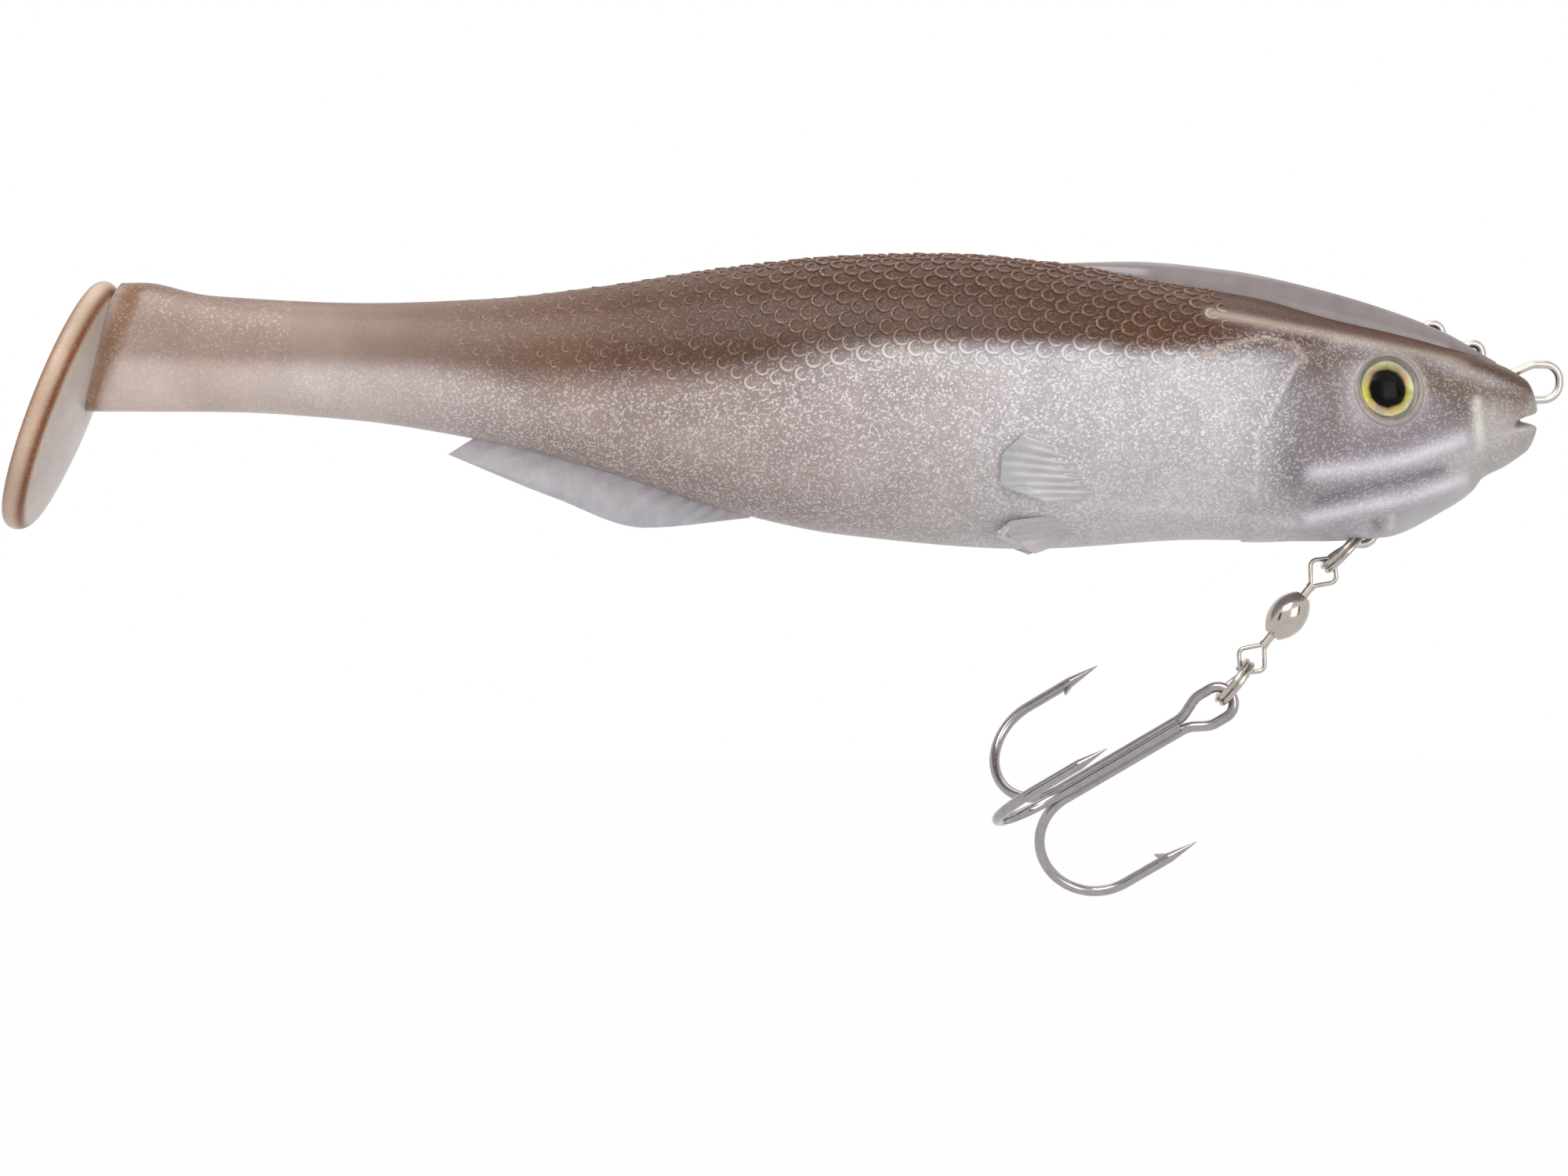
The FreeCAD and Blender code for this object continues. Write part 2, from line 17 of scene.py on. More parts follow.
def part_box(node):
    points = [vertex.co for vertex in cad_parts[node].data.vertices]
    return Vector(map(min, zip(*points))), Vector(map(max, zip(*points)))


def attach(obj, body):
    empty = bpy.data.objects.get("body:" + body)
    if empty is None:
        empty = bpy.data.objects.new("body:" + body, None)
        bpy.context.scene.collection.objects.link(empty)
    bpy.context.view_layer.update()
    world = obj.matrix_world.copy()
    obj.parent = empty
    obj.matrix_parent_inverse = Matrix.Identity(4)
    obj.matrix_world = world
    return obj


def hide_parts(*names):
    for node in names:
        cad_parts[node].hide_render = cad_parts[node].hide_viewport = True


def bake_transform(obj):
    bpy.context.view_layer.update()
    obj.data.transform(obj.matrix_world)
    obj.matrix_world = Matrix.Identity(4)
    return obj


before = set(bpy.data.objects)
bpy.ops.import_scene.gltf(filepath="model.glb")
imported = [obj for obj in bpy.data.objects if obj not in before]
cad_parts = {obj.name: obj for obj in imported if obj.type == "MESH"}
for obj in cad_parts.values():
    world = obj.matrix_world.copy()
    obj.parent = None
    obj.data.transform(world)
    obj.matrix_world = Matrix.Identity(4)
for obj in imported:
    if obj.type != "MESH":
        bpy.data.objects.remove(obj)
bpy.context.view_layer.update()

log = logging.getLogger("swimbait")
MM = 0.001
Rgb = tuple[int, int, int]
Stops = tuple[tuple[float, float], ...]


class Side(Enum):
    """A side of the fish, as the sign of its Y."""

    LEFT = 1
    RIGHT = -1


class Glint(Enum):
    """How much flake a soft finish holds, as the share of its grains that shine."""

    NONE = 0.0
    FINE = 0.34
    HEAVY = 0.5


# ---------------------------------------------------------------- small tools
def linear(color: Rgb) -> tuple[float, float, float]:
    """Turn a display colour of 0 to 255 into linear values.

    Args:
        color: red, green and blue as they look on a screen.

    Returns:
        The three linear values.
    """
    values = np.array(color, float) / 255
    return tuple(np.where(values <= 0.04045, values / 12.92, ((values + 0.055) / 1.055) ** 2.4))


def smooth(low: float, high: float, value: np.ndarray) -> np.ndarray:
    """Ease from 0 at low to 1 at high.

    Args:
        low: where the result is 0.
        high: where the result is 1; it may be below low.
        value: where to read it.

    Returns:
        Values from 0 to 1.
    """
    t = np.clip((value - low) / (high - low), 0, 1)
    return t * t * (3 - 2 * t)


@dataclass(frozen=True)
class Curve:
    """A smooth line through a few stations, such as the back's height along the fish."""

    stops: Stops

    def at(self, where: np.ndarray) -> np.ndarray:
        """Read the line with slopes that don't overshoot between stations.

        Args:
            where: places along the line.

        Returns:
            The line's values there.
        """
        x = np.array([s[0] for s in self.stops], float)
        y = np.array([s[1] for s in self.stops], float)
        step = np.diff(x)
        rise = np.diff(y) / step
        slope = np.zeros_like(y)
        slope[0] = rise[0]
        slope[-1] = rise[-1]
        same = rise[:-1] * rise[1:] > 0
        mean = 2 * rise[:-1] * rise[1:] / np.where(same, rise[:-1] + rise[1:], 1)
        slope[1:-1] = np.where(same, mean, 0)
        w = np.clip(where, x[0], x[-1])
        i = np.clip(np.searchsorted(x, w, side="right") - 1, 0, len(x) - 2)
        t = (w - x[i]) / step[i]
        low = y[i] * (1 + 2 * t) * (1 - t) ** 2 + slope[i] * step[i] * t * (1 - t) ** 2
        high = y[i + 1] * t * t * (3 - 2 * t) - slope[i + 1] * step[i] * t * t * (1 - t)
        return low + high


@dataclass(frozen=True)
class Tints:
    """A colour that changes along the fish, as display colours at millimetres of X."""

    stops: tuple[tuple[float, Rgb], ...]

    def at(self, x_mm: np.ndarray) -> np.ndarray:
        """Read the colour in linear values.

        Args:
            x_mm: places along the fish, in millimetres of X.

        Returns:
            An array with three values for each place.
        """
        places = [s[0] for s in self.stops]
        colors = np.array([linear(s[1]) for s in self.stops])
        return np.stack([np.interp(x_mm, places, colors[:, i]) for i in range(3)], axis=-1)


def distance_to_line(x: np.ndarray, z: np.ndarray, line: Stops) -> np.ndarray:
    """Distance in the side view from each point to a line of straight runs.

    Args:
        x: the points' X.
        z: the points' Z.
        line: the line's corners as (X, Z).

    Returns:
        The distances, in the units of the points.
    """
    best = np.full(np.shape(x), np.inf)
    for (ax, az), (bx, bz) in zip(line, line[1:]):
        dx, dz = bx - ax, bz - az
        t = np.clip(((x - ax) * dx + (z - az) * dz) / (dx * dx + dz * dz), 0, 1)
        best = np.minimum(best, np.hypot(x - ax - t * dx, z - az - t * dz))
    return best


def new_object(name: str, points: np.ndarray, faces: list[tuple[int, ...]]) -> bpy.types.Object:
    """Make a mesh object, smooth but for its end caps, whose closed shell faces outwards.

    Args:
        name: the piece's name.
        points: its vertices, in metres.
        faces: its faces, as indices of vertices.

    Returns:
        The new object, linked to the scene.
    """
    mesh = bpy.data.meshes.new(name)
    mesh.from_pydata([tuple(p) for p in points], [], faces)
    mesh.validate()
    mesh.update()
    volume = 0.0
    mesh.calc_loop_triangles()
    for tri in mesh.loop_triangles:
        a, b, c = (mesh.vertices[i].co for i in tri.vertices)
        volume += a.dot(b.cross(c))
    if volume < 0:
        mesh.flip_normals()
    mesh.polygons.foreach_set("use_smooth", [True] * len(mesh.polygons))
    mesh.set_sharp_from_angle(angle=math.radians(62))
    obj = bpy.data.objects.new(name, mesh)
    bpy.context.scene.collection.objects.link(obj)
    return obj


def tube(grid: np.ndarray, start: int = 0) -> tuple[np.ndarray, list[tuple[int, ...]]]:
    """Join rings of points into a closed tube with a fan over each end.

    Args:
        grid: points of shape (rings, points in a ring, 3).
        start: number to add to every index.

    Returns:
        The vertices and the faces.
    """
    rings, count = grid.shape[:2]
    points = np.concatenate([grid.reshape(-1, 3), grid[0].mean(0)[None], grid[-1].mean(0)[None]])
    faces = []
    for i in range(rings - 1):
        for j in range(count):
            k = (j + 1) % count
            faces.append((i * count + j, i * count + k, (i + 1) * count + k, (i + 1) * count + j))
    first, last = rings * count, rings * count + 1
    for j in range(count):
        k = (j + 1) % count
        faces.append((first, k, j))
        faces.append((last, (rings - 1) * count + j, (rings - 1) * count + k))
    return points, [tuple(v + start for v in f) for f in faces]


def paint(obj: bpy.types.Object, tint: np.ndarray, flake: np.ndarray, seam: float) -> None:
    """Store a colour, an amount of flake and a share of glow-through for each vertex.

    Args:
        obj: the piece.
        tint: linear colours, three for each vertex.
        flake: amounts from 0 to 1, one for each vertex.
        seam: X in millimetres of a cut; light isn't let through near it.
    """
    colors = np.ones((len(obj.data.vertices), 4), np.float32)
    colors[:, :3] = tint
    attribute = obj.data.attributes.new("tint", "FLOAT_COLOR", "POINT")
    attribute.data.foreach_set("color", colors.ravel())
    x = np.array([v.co.x for v in obj.data.vertices]) / MM
    for label, values in (("flake", flake), ("glow", smooth(4, 14, np.abs(x - seam)))):
        attribute = obj.data.attributes.new(label, "FLOAT", "POINT")
        attribute.data.foreach_set("value", np.asarray(values, np.float32))


# ---------------------------------------------------------------- finishes
class Graph:
    """A material's nodes, added and linked by short calls."""

    def __init__(self, name: str) -> None:
        """Start a material that holds only its output.

        Args:
            name: the material's name.
        """
        self.material = bpy.data.materials.new(name)
        self.material.use_nodes = True
        self.tree = self.material.node_tree
        self.tree.nodes.clear()
        self.output = self.add("ShaderNodeOutputMaterial")

    def add(self, kind: str, inputs: dict | None = None, **settings: object) -> bpy.types.Node:
        """Add a node.

        Args:
            kind: the node's type.
            inputs: values or sockets for its inputs, by name or number.
            settings: the node's own properties.

        Returns:
            The new node.
        """
        node = self.tree.nodes.new(kind)
        for key, value in settings.items():
            setattr(node, key, value)
        for key, value in (inputs or {}).items():
            if isinstance(value, bpy.types.NodeSocket):
                self.tree.links.new(value, node.inputs[key])
            else:
                node.inputs[key].default_value = value
        return node

    def math(self, operation: str, first: object, second: object = 0.0) -> bpy.types.NodeSocket:
        """Add a math node and give its result."""
        return self.add("ShaderNodeMath", {0: first, 1: second}, operation=operation).outputs[0]

    def mix(self, factor: object, first: object, second: object,
            blend: str = "MIX") -> bpy.types.NodeSocket:
        """Mix two colours.

        Args:
            factor: how much of the second is used, a value or a socket.
            first: a colour or a socket.
            second: a colour or a socket.
            blend: the way they mix.

        Returns:
            The mixed colour's socket.
        """
        node = self.add("ShaderNodeMix", {0: factor, 6: first, 7: second}, data_type="RGBA",
                        blend_type=blend)
        return node.outputs[2]

    def place(self) -> bpy.types.NodeSocket:
        """Object coordinates, in metres."""
        return self.add("ShaderNodeTexCoord").outputs["Object"]

    def noise(self, scale: float, detail: float = 3.0, vector: object = None) -> bpy.types.Node:
        """Add a noise texture on Object coordinates.

        Args:
            scale: grains per metre.
            detail: octaves.
            vector: coordinates to read instead.

        Returns:
            The texture's node.
        """
        return self.add("ShaderNodeTexNoise", {"Vector": vector or self.place(), "Scale": scale,
                                               "Detail": detail})

    def finish(self, shader: bpy.types.Node) -> bpy.types.Material:
        """Join the shader to the output and give the material."""
        self.tree.links.new(shader.outputs[0], self.output.inputs["Surface"])
        return self.material


@dataclass(frozen=True)
class SoftFinish:
    """Soft, slightly cloudy plastisol with flake in it, coloured by the piece's own tint."""

    name: str
    glint: Glint
    roughness: float = 0.44
    subsurface: float = 0.15
    depth: float = 1.4 * MM
    grain: float = 4300.0
    contrast: float = 0.34
    coat: float = 0.07
    sheen: float = 0.26

    def material(self) -> bpy.types.Material:
        """Build the material.

        Returns:
            The finished material.
        """
        g = Graph(self.name)
        place = g.place()
        tint = g.add("ShaderNodeAttribute", attribute_name="tint").outputs["Color"]
        flake = g.add("ShaderNodeAttribute", attribute_name="flake").outputs["Fac"]
        glow = g.add("ShaderNodeAttribute", attribute_name="glow").outputs["Fac"]
        cloud = g.add("ShaderNodeMapRange", {"Value": g.noise(160.0, 4.0, place).outputs["Fac"],
                                             "From Min": 0.3, "From Max": 0.7, "To Min": 0.9,
                                             "To Max": 1.08}).outputs[0]
        cloudy = g.mix(1.0, tint, g.add("ShaderNodeCombineColor", {0: cloud, 1: cloud, 2: cloud}).outputs[0],
                       "MULTIPLY")
        grain = g.add("ShaderNodeTexVoronoi", {"Vector": place, "Scale": self.grain, "Randomness": 1.0})
        parts = g.add("ShaderNodeSeparateColor", {0: grain.outputs["Color"]})
        amount = g.math("MULTIPLY", flake, self.contrast)
        light = g.math("MULTIPLY", g.math("GREATER_THAN", parts.outputs[0], 1 - self.glint.value / 2), amount)
        dark = g.math("MULTIPLY", g.math("LESS_THAN", parts.outputs[0], self.glint.value), amount)
        shaded = g.mix(g.math("MULTIPLY", dark, 0.62), cloudy,
                       g.mix(1.0, cloudy, (0.52, 0.48, 0.47, 1), "MULTIPLY"))
        base = g.mix(g.math("MULTIPLY", light, 0.75), shaded, (0.86, 0.85, 0.9, 1))
        tilt = g.add("ShaderNodeVectorMath", {0: grain.outputs["Color"], 1: (0.5, 0.5, 0.5)},
                     operation="SUBTRACT").outputs[0]
        turned = g.add("ShaderNodeVectorMath", {0: tilt, "Scale": g.math("MULTIPLY", light, 1.2)},
                       operation="SCALE").outputs[0]
        swell = g.add("ShaderNodeBump", {"Height": g.noise(900.0, 3.0, place).outputs["Fac"],
                                         "Strength": 0.12, "Distance": 0.12 * MM})
        normal = g.add("ShaderNodeVectorMath", {0: swell.outputs[0], 1: turned}, operation="ADD").outputs[0]
        normal = g.add("ShaderNodeVectorMath", {0: normal}, operation="NORMALIZE").outputs[0]
        shader = g.add("ShaderNodeBsdfPrincipled", {
            "Base Color": base, "Roughness": self.roughness, "Normal": normal,
            "Metallic": g.math("MULTIPLY", light, 0.55),
            "Subsurface Weight": g.math("MULTIPLY", glow, self.subsurface),
            "Subsurface Scale": self.depth, "Coat Weight": self.coat, "Coat Roughness": 0.18,
            "IOR": 1.45, "Specular IOR Level": self.sheen})
        shader.inputs["Subsurface Radius"].default_value = (1.0, 0.75, 0.6)
        return g.finish(shader)


@dataclass(frozen=True)
class ClearSoftFinish:
    """Clear plastisol without flake, as in fins and the lips of the back ridge."""

    name: str
    color: Rgb
    clearness: float
    roughness: float = 0.22
    spark: float = 0.12

    def material(self) -> bpy.types.Material:
        """Build the material.

        Returns:
            The finished material.
        """
        g = Graph(self.name)
        place = g.place()
        tone = g.add("ShaderNodeMapRange", {"Value": g.noise(420.0, 4.0, place).outputs["Fac"],
                                            "From Min": 0.3, "From Max": 0.7, "To Min": 0.0,
                                            "To Max": 1.0}).outputs[0]
        color = (*linear(self.color), 1)
        darker = tuple(c * 0.82 for c in color[:3]) + (1,)
        grain = g.add("ShaderNodeTexVoronoi", {"Vector": place, "Scale": 2400.0})
        spark = g.math("GREATER_THAN", g.add("ShaderNodeSeparateColor",
                                             {0: grain.outputs["Color"]}).outputs[0], 0.9)
        base = g.mix(g.math("MULTIPLY", spark, self.spark), g.mix(tone, darker, color),
                     (0.95, 0.95, 0.97, 1))
        bump = g.add("ShaderNodeBump", {"Height": g.noise(1100.0, 2.0, place).outputs["Fac"],
                                        "Strength": 0.15, "Distance": 0.1 * MM})
        shader = g.add("ShaderNodeBsdfPrincipled", {
            "Base Color": base, "Roughness": self.roughness, "Normal": bump.outputs[0],
            "Transmission Weight": self.clearness, "IOR": 1.44,
            "Subsurface Weight": 0.3, "Subsurface Scale": 1.2 * MM,
            "Coat Weight": 0.4, "Coat Roughness": 0.1})
        return g.finish(shader)


@dataclass(frozen=True)
class MetalFinish:
    """Plated or drawn metal with faint streaks and handling marks."""

    name: str
    color: Rgb
    roughness: float
    streak: float = 900.0
    stain: Rgb = (150, 140, 130)
    stain_share: float = 0.25

    def material(self) -> bpy.types.Material:
        """Build the material.

        Returns:
            The finished material.
        """
        g = Graph(self.name)
        place = g.place()
        stretched = g.add("ShaderNodeMapping", {"Vector": place, "Scale": (1.0, 0.35, 1.0)}).outputs[0]
        fine = g.noise(self.streak * 6, 3.0, stretched).outputs["Fac"]
        broad = g.noise(self.streak, 4.0, place).outputs["Fac"]
        patch = g.add("ShaderNodeMapRange", {"Value": broad, "From Min": 0.45, "From Max": 0.75,
                                             "To Min": 0.0, "To Max": self.stain_share}).outputs[0]
        base = g.mix(patch, (*linear(self.color), 1), (*linear(self.stain), 1))
        rough = g.add("ShaderNodeMapRange", {"Value": fine, "From Min": 0.3, "From Max": 0.7,
                                             "To Min": self.roughness * 0.7,
                                             "To Max": self.roughness * 1.4}).outputs[0]
        bump = g.add("ShaderNodeBump", {"Height": fine, "Strength": 0.08, "Distance": 0.03 * MM})
        shader = g.add("ShaderNodeBsdfPrincipled", {"Base Color": base, "Metallic": 1.0,
                                                    "Roughness": rough, "Normal": bump.outputs[0]})
        return g.finish(shader)


@dataclass(frozen=True)
class FoilFinish:
    """Holographic foil with a black pupil, printed in rings about one centre."""

    name: str
    centre: tuple[float, float, float]
    outer: float
    pupil: float = 2.45 * MM

    def material(self) -> bpy.types.Material:
        """Build the material.

        Returns:
            The finished material.
        """
        g = Graph(self.name)
        place = g.place()
        away = g.add("ShaderNodeVectorMath", {0: place, 1: self.centre}, operation="SUBTRACT").outputs[0]
        radius = g.add("ShaderNodeVectorMath", {0: away}, operation="LENGTH").outputs["Value"]
        ragged = g.math("ADD", radius, g.math("MULTIPLY", g.math(
            "SUBTRACT", g.noise(900.0, 2.0, place).outputs["Fac"], 0.5), 0.5 * MM))
        share = g.math("DIVIDE", ragged, self.outer)
        ring = g.add("ShaderNodeValToRGB", {0: share})
        stops = ((0.0, (3, 3, 4)), (0.66, (6, 5, 5)), (0.7, (150, 112, 40)), (0.77, (222, 184, 84)),
                 (0.88, (240, 224, 140)), (0.96, (250, 244, 196)), (1.0, (232, 220, 190)))
        ramp = ring.color_ramp
        while len(ramp.elements) < len(stops):
            ramp.elements.new(0.5)
        for element, (position, color) in zip(ramp.elements, stops):
            element.position = position
            element.color = (*linear(color), 1)
        hues = g.noise(340.0, 2.0, place).outputs["Color"]
        vivid = g.add("ShaderNodeHueSaturation", {"Saturation": 2.4, "Value": 1.1, "Color": hues}).outputs[0]
        outside = g.math("GREATER_THAN", share, 0.7)
        base = g.mix(g.math("MULTIPLY", outside, 0.28), ring.outputs[0], vivid)
        spark = g.add("ShaderNodeTexVoronoi", {"Vector": place, "Scale": 3200.0})
        tilt = g.add("ShaderNodeVectorMath", {0: spark.outputs["Color"], 1: (0.5, 0.5, 0.5)},
                     operation="SUBTRACT").outputs[0]
        turned = g.add("ShaderNodeVectorMath", {0: tilt, "Scale": 0.35}, operation="SCALE").outputs[0]
        facing = g.add("ShaderNodeNewGeometry").outputs["Normal"]
        normal = g.add("ShaderNodeVectorMath", {0: facing, 1: turned}, operation="ADD").outputs[0]
        shader = g.add("ShaderNodeBsdfPrincipled", {
            "Base Color": base, "Roughness": 0.32, "Normal": normal, "Specular IOR Level": 0.03,
            "Metallic": g.math("MULTIPLY", outside, 0.35)})
        return g.finish(shader)


@dataclass(frozen=True)
class LensFinish:
    """Clear domed resin over the printed foil."""

    name: str

    def material(self) -> bpy.types.Material:
        """Build the material.

        Returns:
            The finished material.
        """
        g = Graph(self.name)
        bump = g.add("ShaderNodeBump", {"Height": g.noise(500.0, 2.0).outputs["Fac"],
                                        "Strength": 0.04, "Distance": 0.05 * MM})
        shader = g.add("ShaderNodeBsdfPrincipled", {
            "Base Color": (0.98, 0.98, 0.94, 1), "Roughness": 0.02, "IOR": 1.16,
            "Specular IOR Level": 0.5, "Transmission Weight": 1.0, "Normal": bump.outputs[0]})
        return g.finish(shader)


# ---------------------------------------------------------------- the soft body
@dataclass(frozen=True)
class Mark:
    """A band of colour on the skin along a line in the side view, in millimetres; some bands are painted
    highlights or painted shade.
    """

    line: Stops
    half: float
    color: Rgb
    strength: float
    edge: float = 2.0

    def over(self, x: np.ndarray, z: np.ndarray, color: np.ndarray) -> np.ndarray:
        """Lay the band over a colour.

        Args:
            x: millimetres of X.
            z: millimetres of Z.
            color: linear colours below.

        Returns:
            Linear colours.
        """
        away = distance_to_line(x, z, self.line) / self.half
        share = (self.strength * np.exp(-away ** self.edge))[..., None]
        return color * (1 - share) + np.array(linear(self.color)) * share


BROW: Stops = ((-55, 12), (-35, 8.5), (-13, 4), (-2, -1))
# line of a painted highlight on the brown brow band
BROW_HIGHLIGHT: Stops = ((-45, 8.5), (-34, 6.5), (-11, 2.4))
SHOULDER: Stops = ((-56, 5), (-43, 4.8), (-31, 5))
GILL_TOP: Stops = ((-46, 2.5), (-43, 4.2), (-38, 5), (-34, 4), (-33, 2))
GILL_EDGE: Stops = ((-34, 2), (-38, -5), (-39.5, -8), (-39.5, -16))
CHEEK: Stops = ((-32, -12.6), (-20.5, -11), (-12, -8.2))
CHEEK_GROOVE: Stops = ((-31, -16), (-15, -12.2))
JAW: Stops = ((-32, -18.3), (-19, -15.7), (-11.5, -13.2))
LIP: Stops = ((-10, -3), (-9.5, -8.5))

HEAD_MARKS = (
    Mark(((-33.5, 0), (-34.2, -12.6)), 4.2, (128, 117, 121), 0.82),
    Mark(((-30.5, -9.6), (-21, -8), (-13.7, -4.6)), 3.2, (132, 121, 127), 0.84),
    Mark(((-31.5, 1.5), (-27, 3), (-19.5, 2.5)), 2.1, (112, 92, 82), 0.88),
    Mark(((-30, -1), (-29.5, -6)), 3.0, (124, 108, 107), 0.82),
    Mark(((-18, 1.4), (-12, -3)), 3.0, (120, 102, 94), 0.88),
    # painted shade: dark grey along the cheek groove
    Mark(CHEEK_GROOVE, 1.1, (138, 129, 137), 0.85),
    Mark(((-18.5, -19), (-9.5, -15)), 1.5, (203, 201, 203), 0.8),
    # painted highlights: near-white streaks along the cheek and jaw ridges
    Mark(CHEEK, 1.0, (238, 234, 246), 0.75),
    Mark(JAW, 0.8, (240, 236, 246), 0.8),
    Mark(SHOULDER, 2.1, (84, 49, 25), 0.93),
    # painted highlight: pale streak on the brown brow band
    Mark(BROW_HIGHLIGHT, 0.75, (198, 182, 168), 0.82),
    Mark(BROW, 1.3, (82, 48, 27), 0.95),
    Mark(((-16, -0.3), (-3.5, -2.5)), 1.5, (122, 100, 86), 0.85),
    Mark(((-6.5, -3.8), (-4, -4.4)), 0.9, (164, 147, 136), 0.7),
    # painted highlights: pale lines along the raised gill cover edges
    Mark(GILL_TOP, 0.3, (206, 186, 170), 0.75),
    Mark(GILL_EDGE, 0.28, (222, 214, 210), 0.75),
    Mark(LIP, 0.7, (240, 235, 224), 0.88),
    Mark(((-23, -18.7), (-22.5, -19.5)), 0.7, (118, 108, 108), 0.7),
    Mark(((-21, -18), (-20.7, -19.3)), 0.45, (228, 224, 216), 0.7),
    # painted highlight: pale line along the lower flank
    Mark(((-70, -16), (-45, -17.5), (-34, -19)), 0.7, (228, 224, 230), 0.5),
    Mark(((-118, -2.8), (-106, -2.4)), 2.0, (172, 154, 146), 0.4),
    # pale disc under each lens: partly the pale ring round the eye, partly painted light that lifts the shaded
    # seat
    Mark(((-22, -1.3), (-21.5, -1.3)), 4.5, (226, 218, 210), 1.0, 8.0),
)


@dataclass
class BodyShape:
    """The bare fish without fins: sections along X, and the colours of back and flank.

    Heights are in millimetres of Z at millimetres of X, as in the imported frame.
    """

    nose: float = -0.7
    power: float = 2.25
    nose_round: float = 1.7
    marks: tuple[Mark, ...] = HEAD_MARKS
    top: Curve = Curve(((-204, 12.6), (-188, 13.1), (-175, 11.3), (-155, 10.4), (-140, 10.9),
                        (-125, 12.5), (-108, 15), (-92, 16.5), (-80, 16.8), (-65, 15.6), (-50, 13),
                        (-38, 11), (-29, 8.5), (-16, 5.5), (-5, 1.9), (-0.7, -0.8)))
    bottom: Curve = Curve(((-204, -3.9), (-175, -4), (-158, -5), (-142, -7.4), (-125, -11.6),
                           (-108, -17), (-92, -20.3), (-68, -22.1), (-45, -20.9), (-30, -21.1),
                           (-21, -20.6), (-13, -17), (-9.5, -14.6), (-8.2, -12.9), (-5, -11.2),
                           (-0.7, -8.2)))
    half: Curve = Curve(((-204, 3.2), (-180, 3.5), (-160, 4.8), (-133, 7.8), (-100, 12.3),
                         (-67, 15), (-40, 14), (-26, 12), (-9, 7.3), (-0.7, 3)))
    outline: Curve = Curve(((-66, 15.6), (-55, 15.8), (-42, 14.7), (-30, 12.2), (-20, 9.2),
                            (-13, 6.4), (-6, 2.5)))
    edge: Curve = Curve(((-204, 4), (-173, 2.2), (-148, 1.6), (-131, -0.8), (-111, -0.6), (-85, 4),
                         (-54, 3.6), (-33, 6.4), (-24, 5), (-9, 1.2), (0, -2)))
    softness: Curve = Curve(((-204, 1.2), (-150, 1.8), (-120, 3.6), (-100, 3.4), (-85, 1.7),
                             (-50, 1.5), (-30, 0.9), (0, 0.8)))
    back_tint: Tints = Tints(((-204, (182, 158, 146)), (-160, (162, 139, 127)),
                              (-148, (138, 114, 101)), (-131, (116, 87, 70)), (-121, (98, 68, 50)),
                              (-100, (82, 54, 35)), (-69, (78, 48, 28)), (-50, (78, 47, 26)),
                              (-36, (78, 47, 27)), (-24, (88, 59, 40)), (-12, (112, 84, 66)),
                              (-4, (138, 117, 104))))
    flank_tint: Tints = Tints(((-204, (216, 200, 192)), (-173, (210, 192, 184)), (-160, (210, 195, 190)),
                               (-142, (196, 180, 176)), (-131, (184, 165, 158)), (-115, (182, 163, 156)),
                               (-100, (186, 170, 166)), (-85, (192, 180, 178)), (-69, (204, 197, 198)),
                               (-54, (208, 202, 204)), (-38, (206, 201, 203)), (-28, (190, 182, 187)),
                               (-17, (188, 180, 184)), (-9, (204, 197, 195)), (-4, (190, 182, 178))))

    def sizes(self, x: np.ndarray) -> tuple[np.ndarray, np.ndarray, np.ndarray]:
        """Middle height, half height and half width of the section at x.

        Args:
            x: millimetres of X.

        Returns:
            The three arrays, in millimetres.
        """
        behind = np.clip((self.nose - x) / self.nose_round, 0, 1)
        close = np.sqrt(np.clip(1 - (1 - behind) ** 2, 0, 1))
        top, bottom, half = self.top.at(x), self.bottom.at(x), self.half.at(x)
        lips = -5.0
        middle = (top + bottom) / 2
        middle = lips + (middle - lips) * close
        return middle, (top - bottom) / 2 * close, half * close

    def rings(self, x: np.ndarray, count: int) -> np.ndarray:
        """Points on the sections at x, in millimetres.

        Args:
            x: millimetres of X, one for each ring.
            count: points round each ring.

        Returns:
            An array of shape (rings, count, 3).
        """
        middle, tall, half = (v[:, None] for v in self.sizes(x))
        angle = np.linspace(0, 2 * math.pi, count, endpoint=False)[None]
        c, s = np.cos(angle), np.sin(angle)
        y = half * np.sign(c) * np.abs(c) ** (2 / self.power)
        z = middle + tall * np.sign(s) * np.abs(s) ** (2 / self.power)
        return np.stack([np.broadcast_to(x[:, None], y.shape), y, z], axis=-1)

    def skin_y(self, x: np.ndarray, z: np.ndarray) -> np.ndarray:
        """Half width of the skin at a height.

        Args:
            x: millimetres of X.
            z: millimetres of Z.

        Returns:
            Millimetres of Y, never negative.
        """
        middle, tall, half = self.sizes(np.asarray(x, float))
        share = np.clip(np.abs(z - middle) / tall, 0, 1)
        return half * (1 - share ** self.power) ** (1 / self.power)

    def tint(self, x: np.ndarray, z: np.ndarray) -> np.ndarray:
        """Colour of the skin at a place in the side view, with painted shade under the belly and the head marks'
        painted highlights and shade.

        Args:
            x: millimetres of X.
            z: millimetres of Z.

        Returns:
            Linear colours.
        """
        blur = self.softness.at(x)
        back = smooth(-1, 1, (z - self.edge.at(x)) / blur)[..., None]
        color = self.flank_tint.at(x) * (1 - back) + self.back_tint.at(x) * back
        middle, tall, _ = self.sizes(x)
        # painted shade under the belly: the flank darkens towards the bottom between X -150 and -88
        low = smooth(-0.55, -0.95, (z - middle) / tall) * smooth(-150, -125, x) * smooth(-88, -108, x)
        color = color * (1 - 0.18 * low[..., None])
        stripe = np.exp(-((z - self.edge.at(x) + 3.6) / 1.7) ** 2) * smooth(-128, -108, x) * smooth(-90, -100, x)
        color = color * (1 - 0.2 * stripe[..., None])
        crest = (0.75 * smooth(0.86, 0.97, (z - middle) / tall) * smooth(-128, -146, x))[..., None]
        color = color * (1 - crest) + np.array(linear((132, 106, 90))) * crest
        for mark in self.marks:
            color = mark.over(x, z, color)
        return color

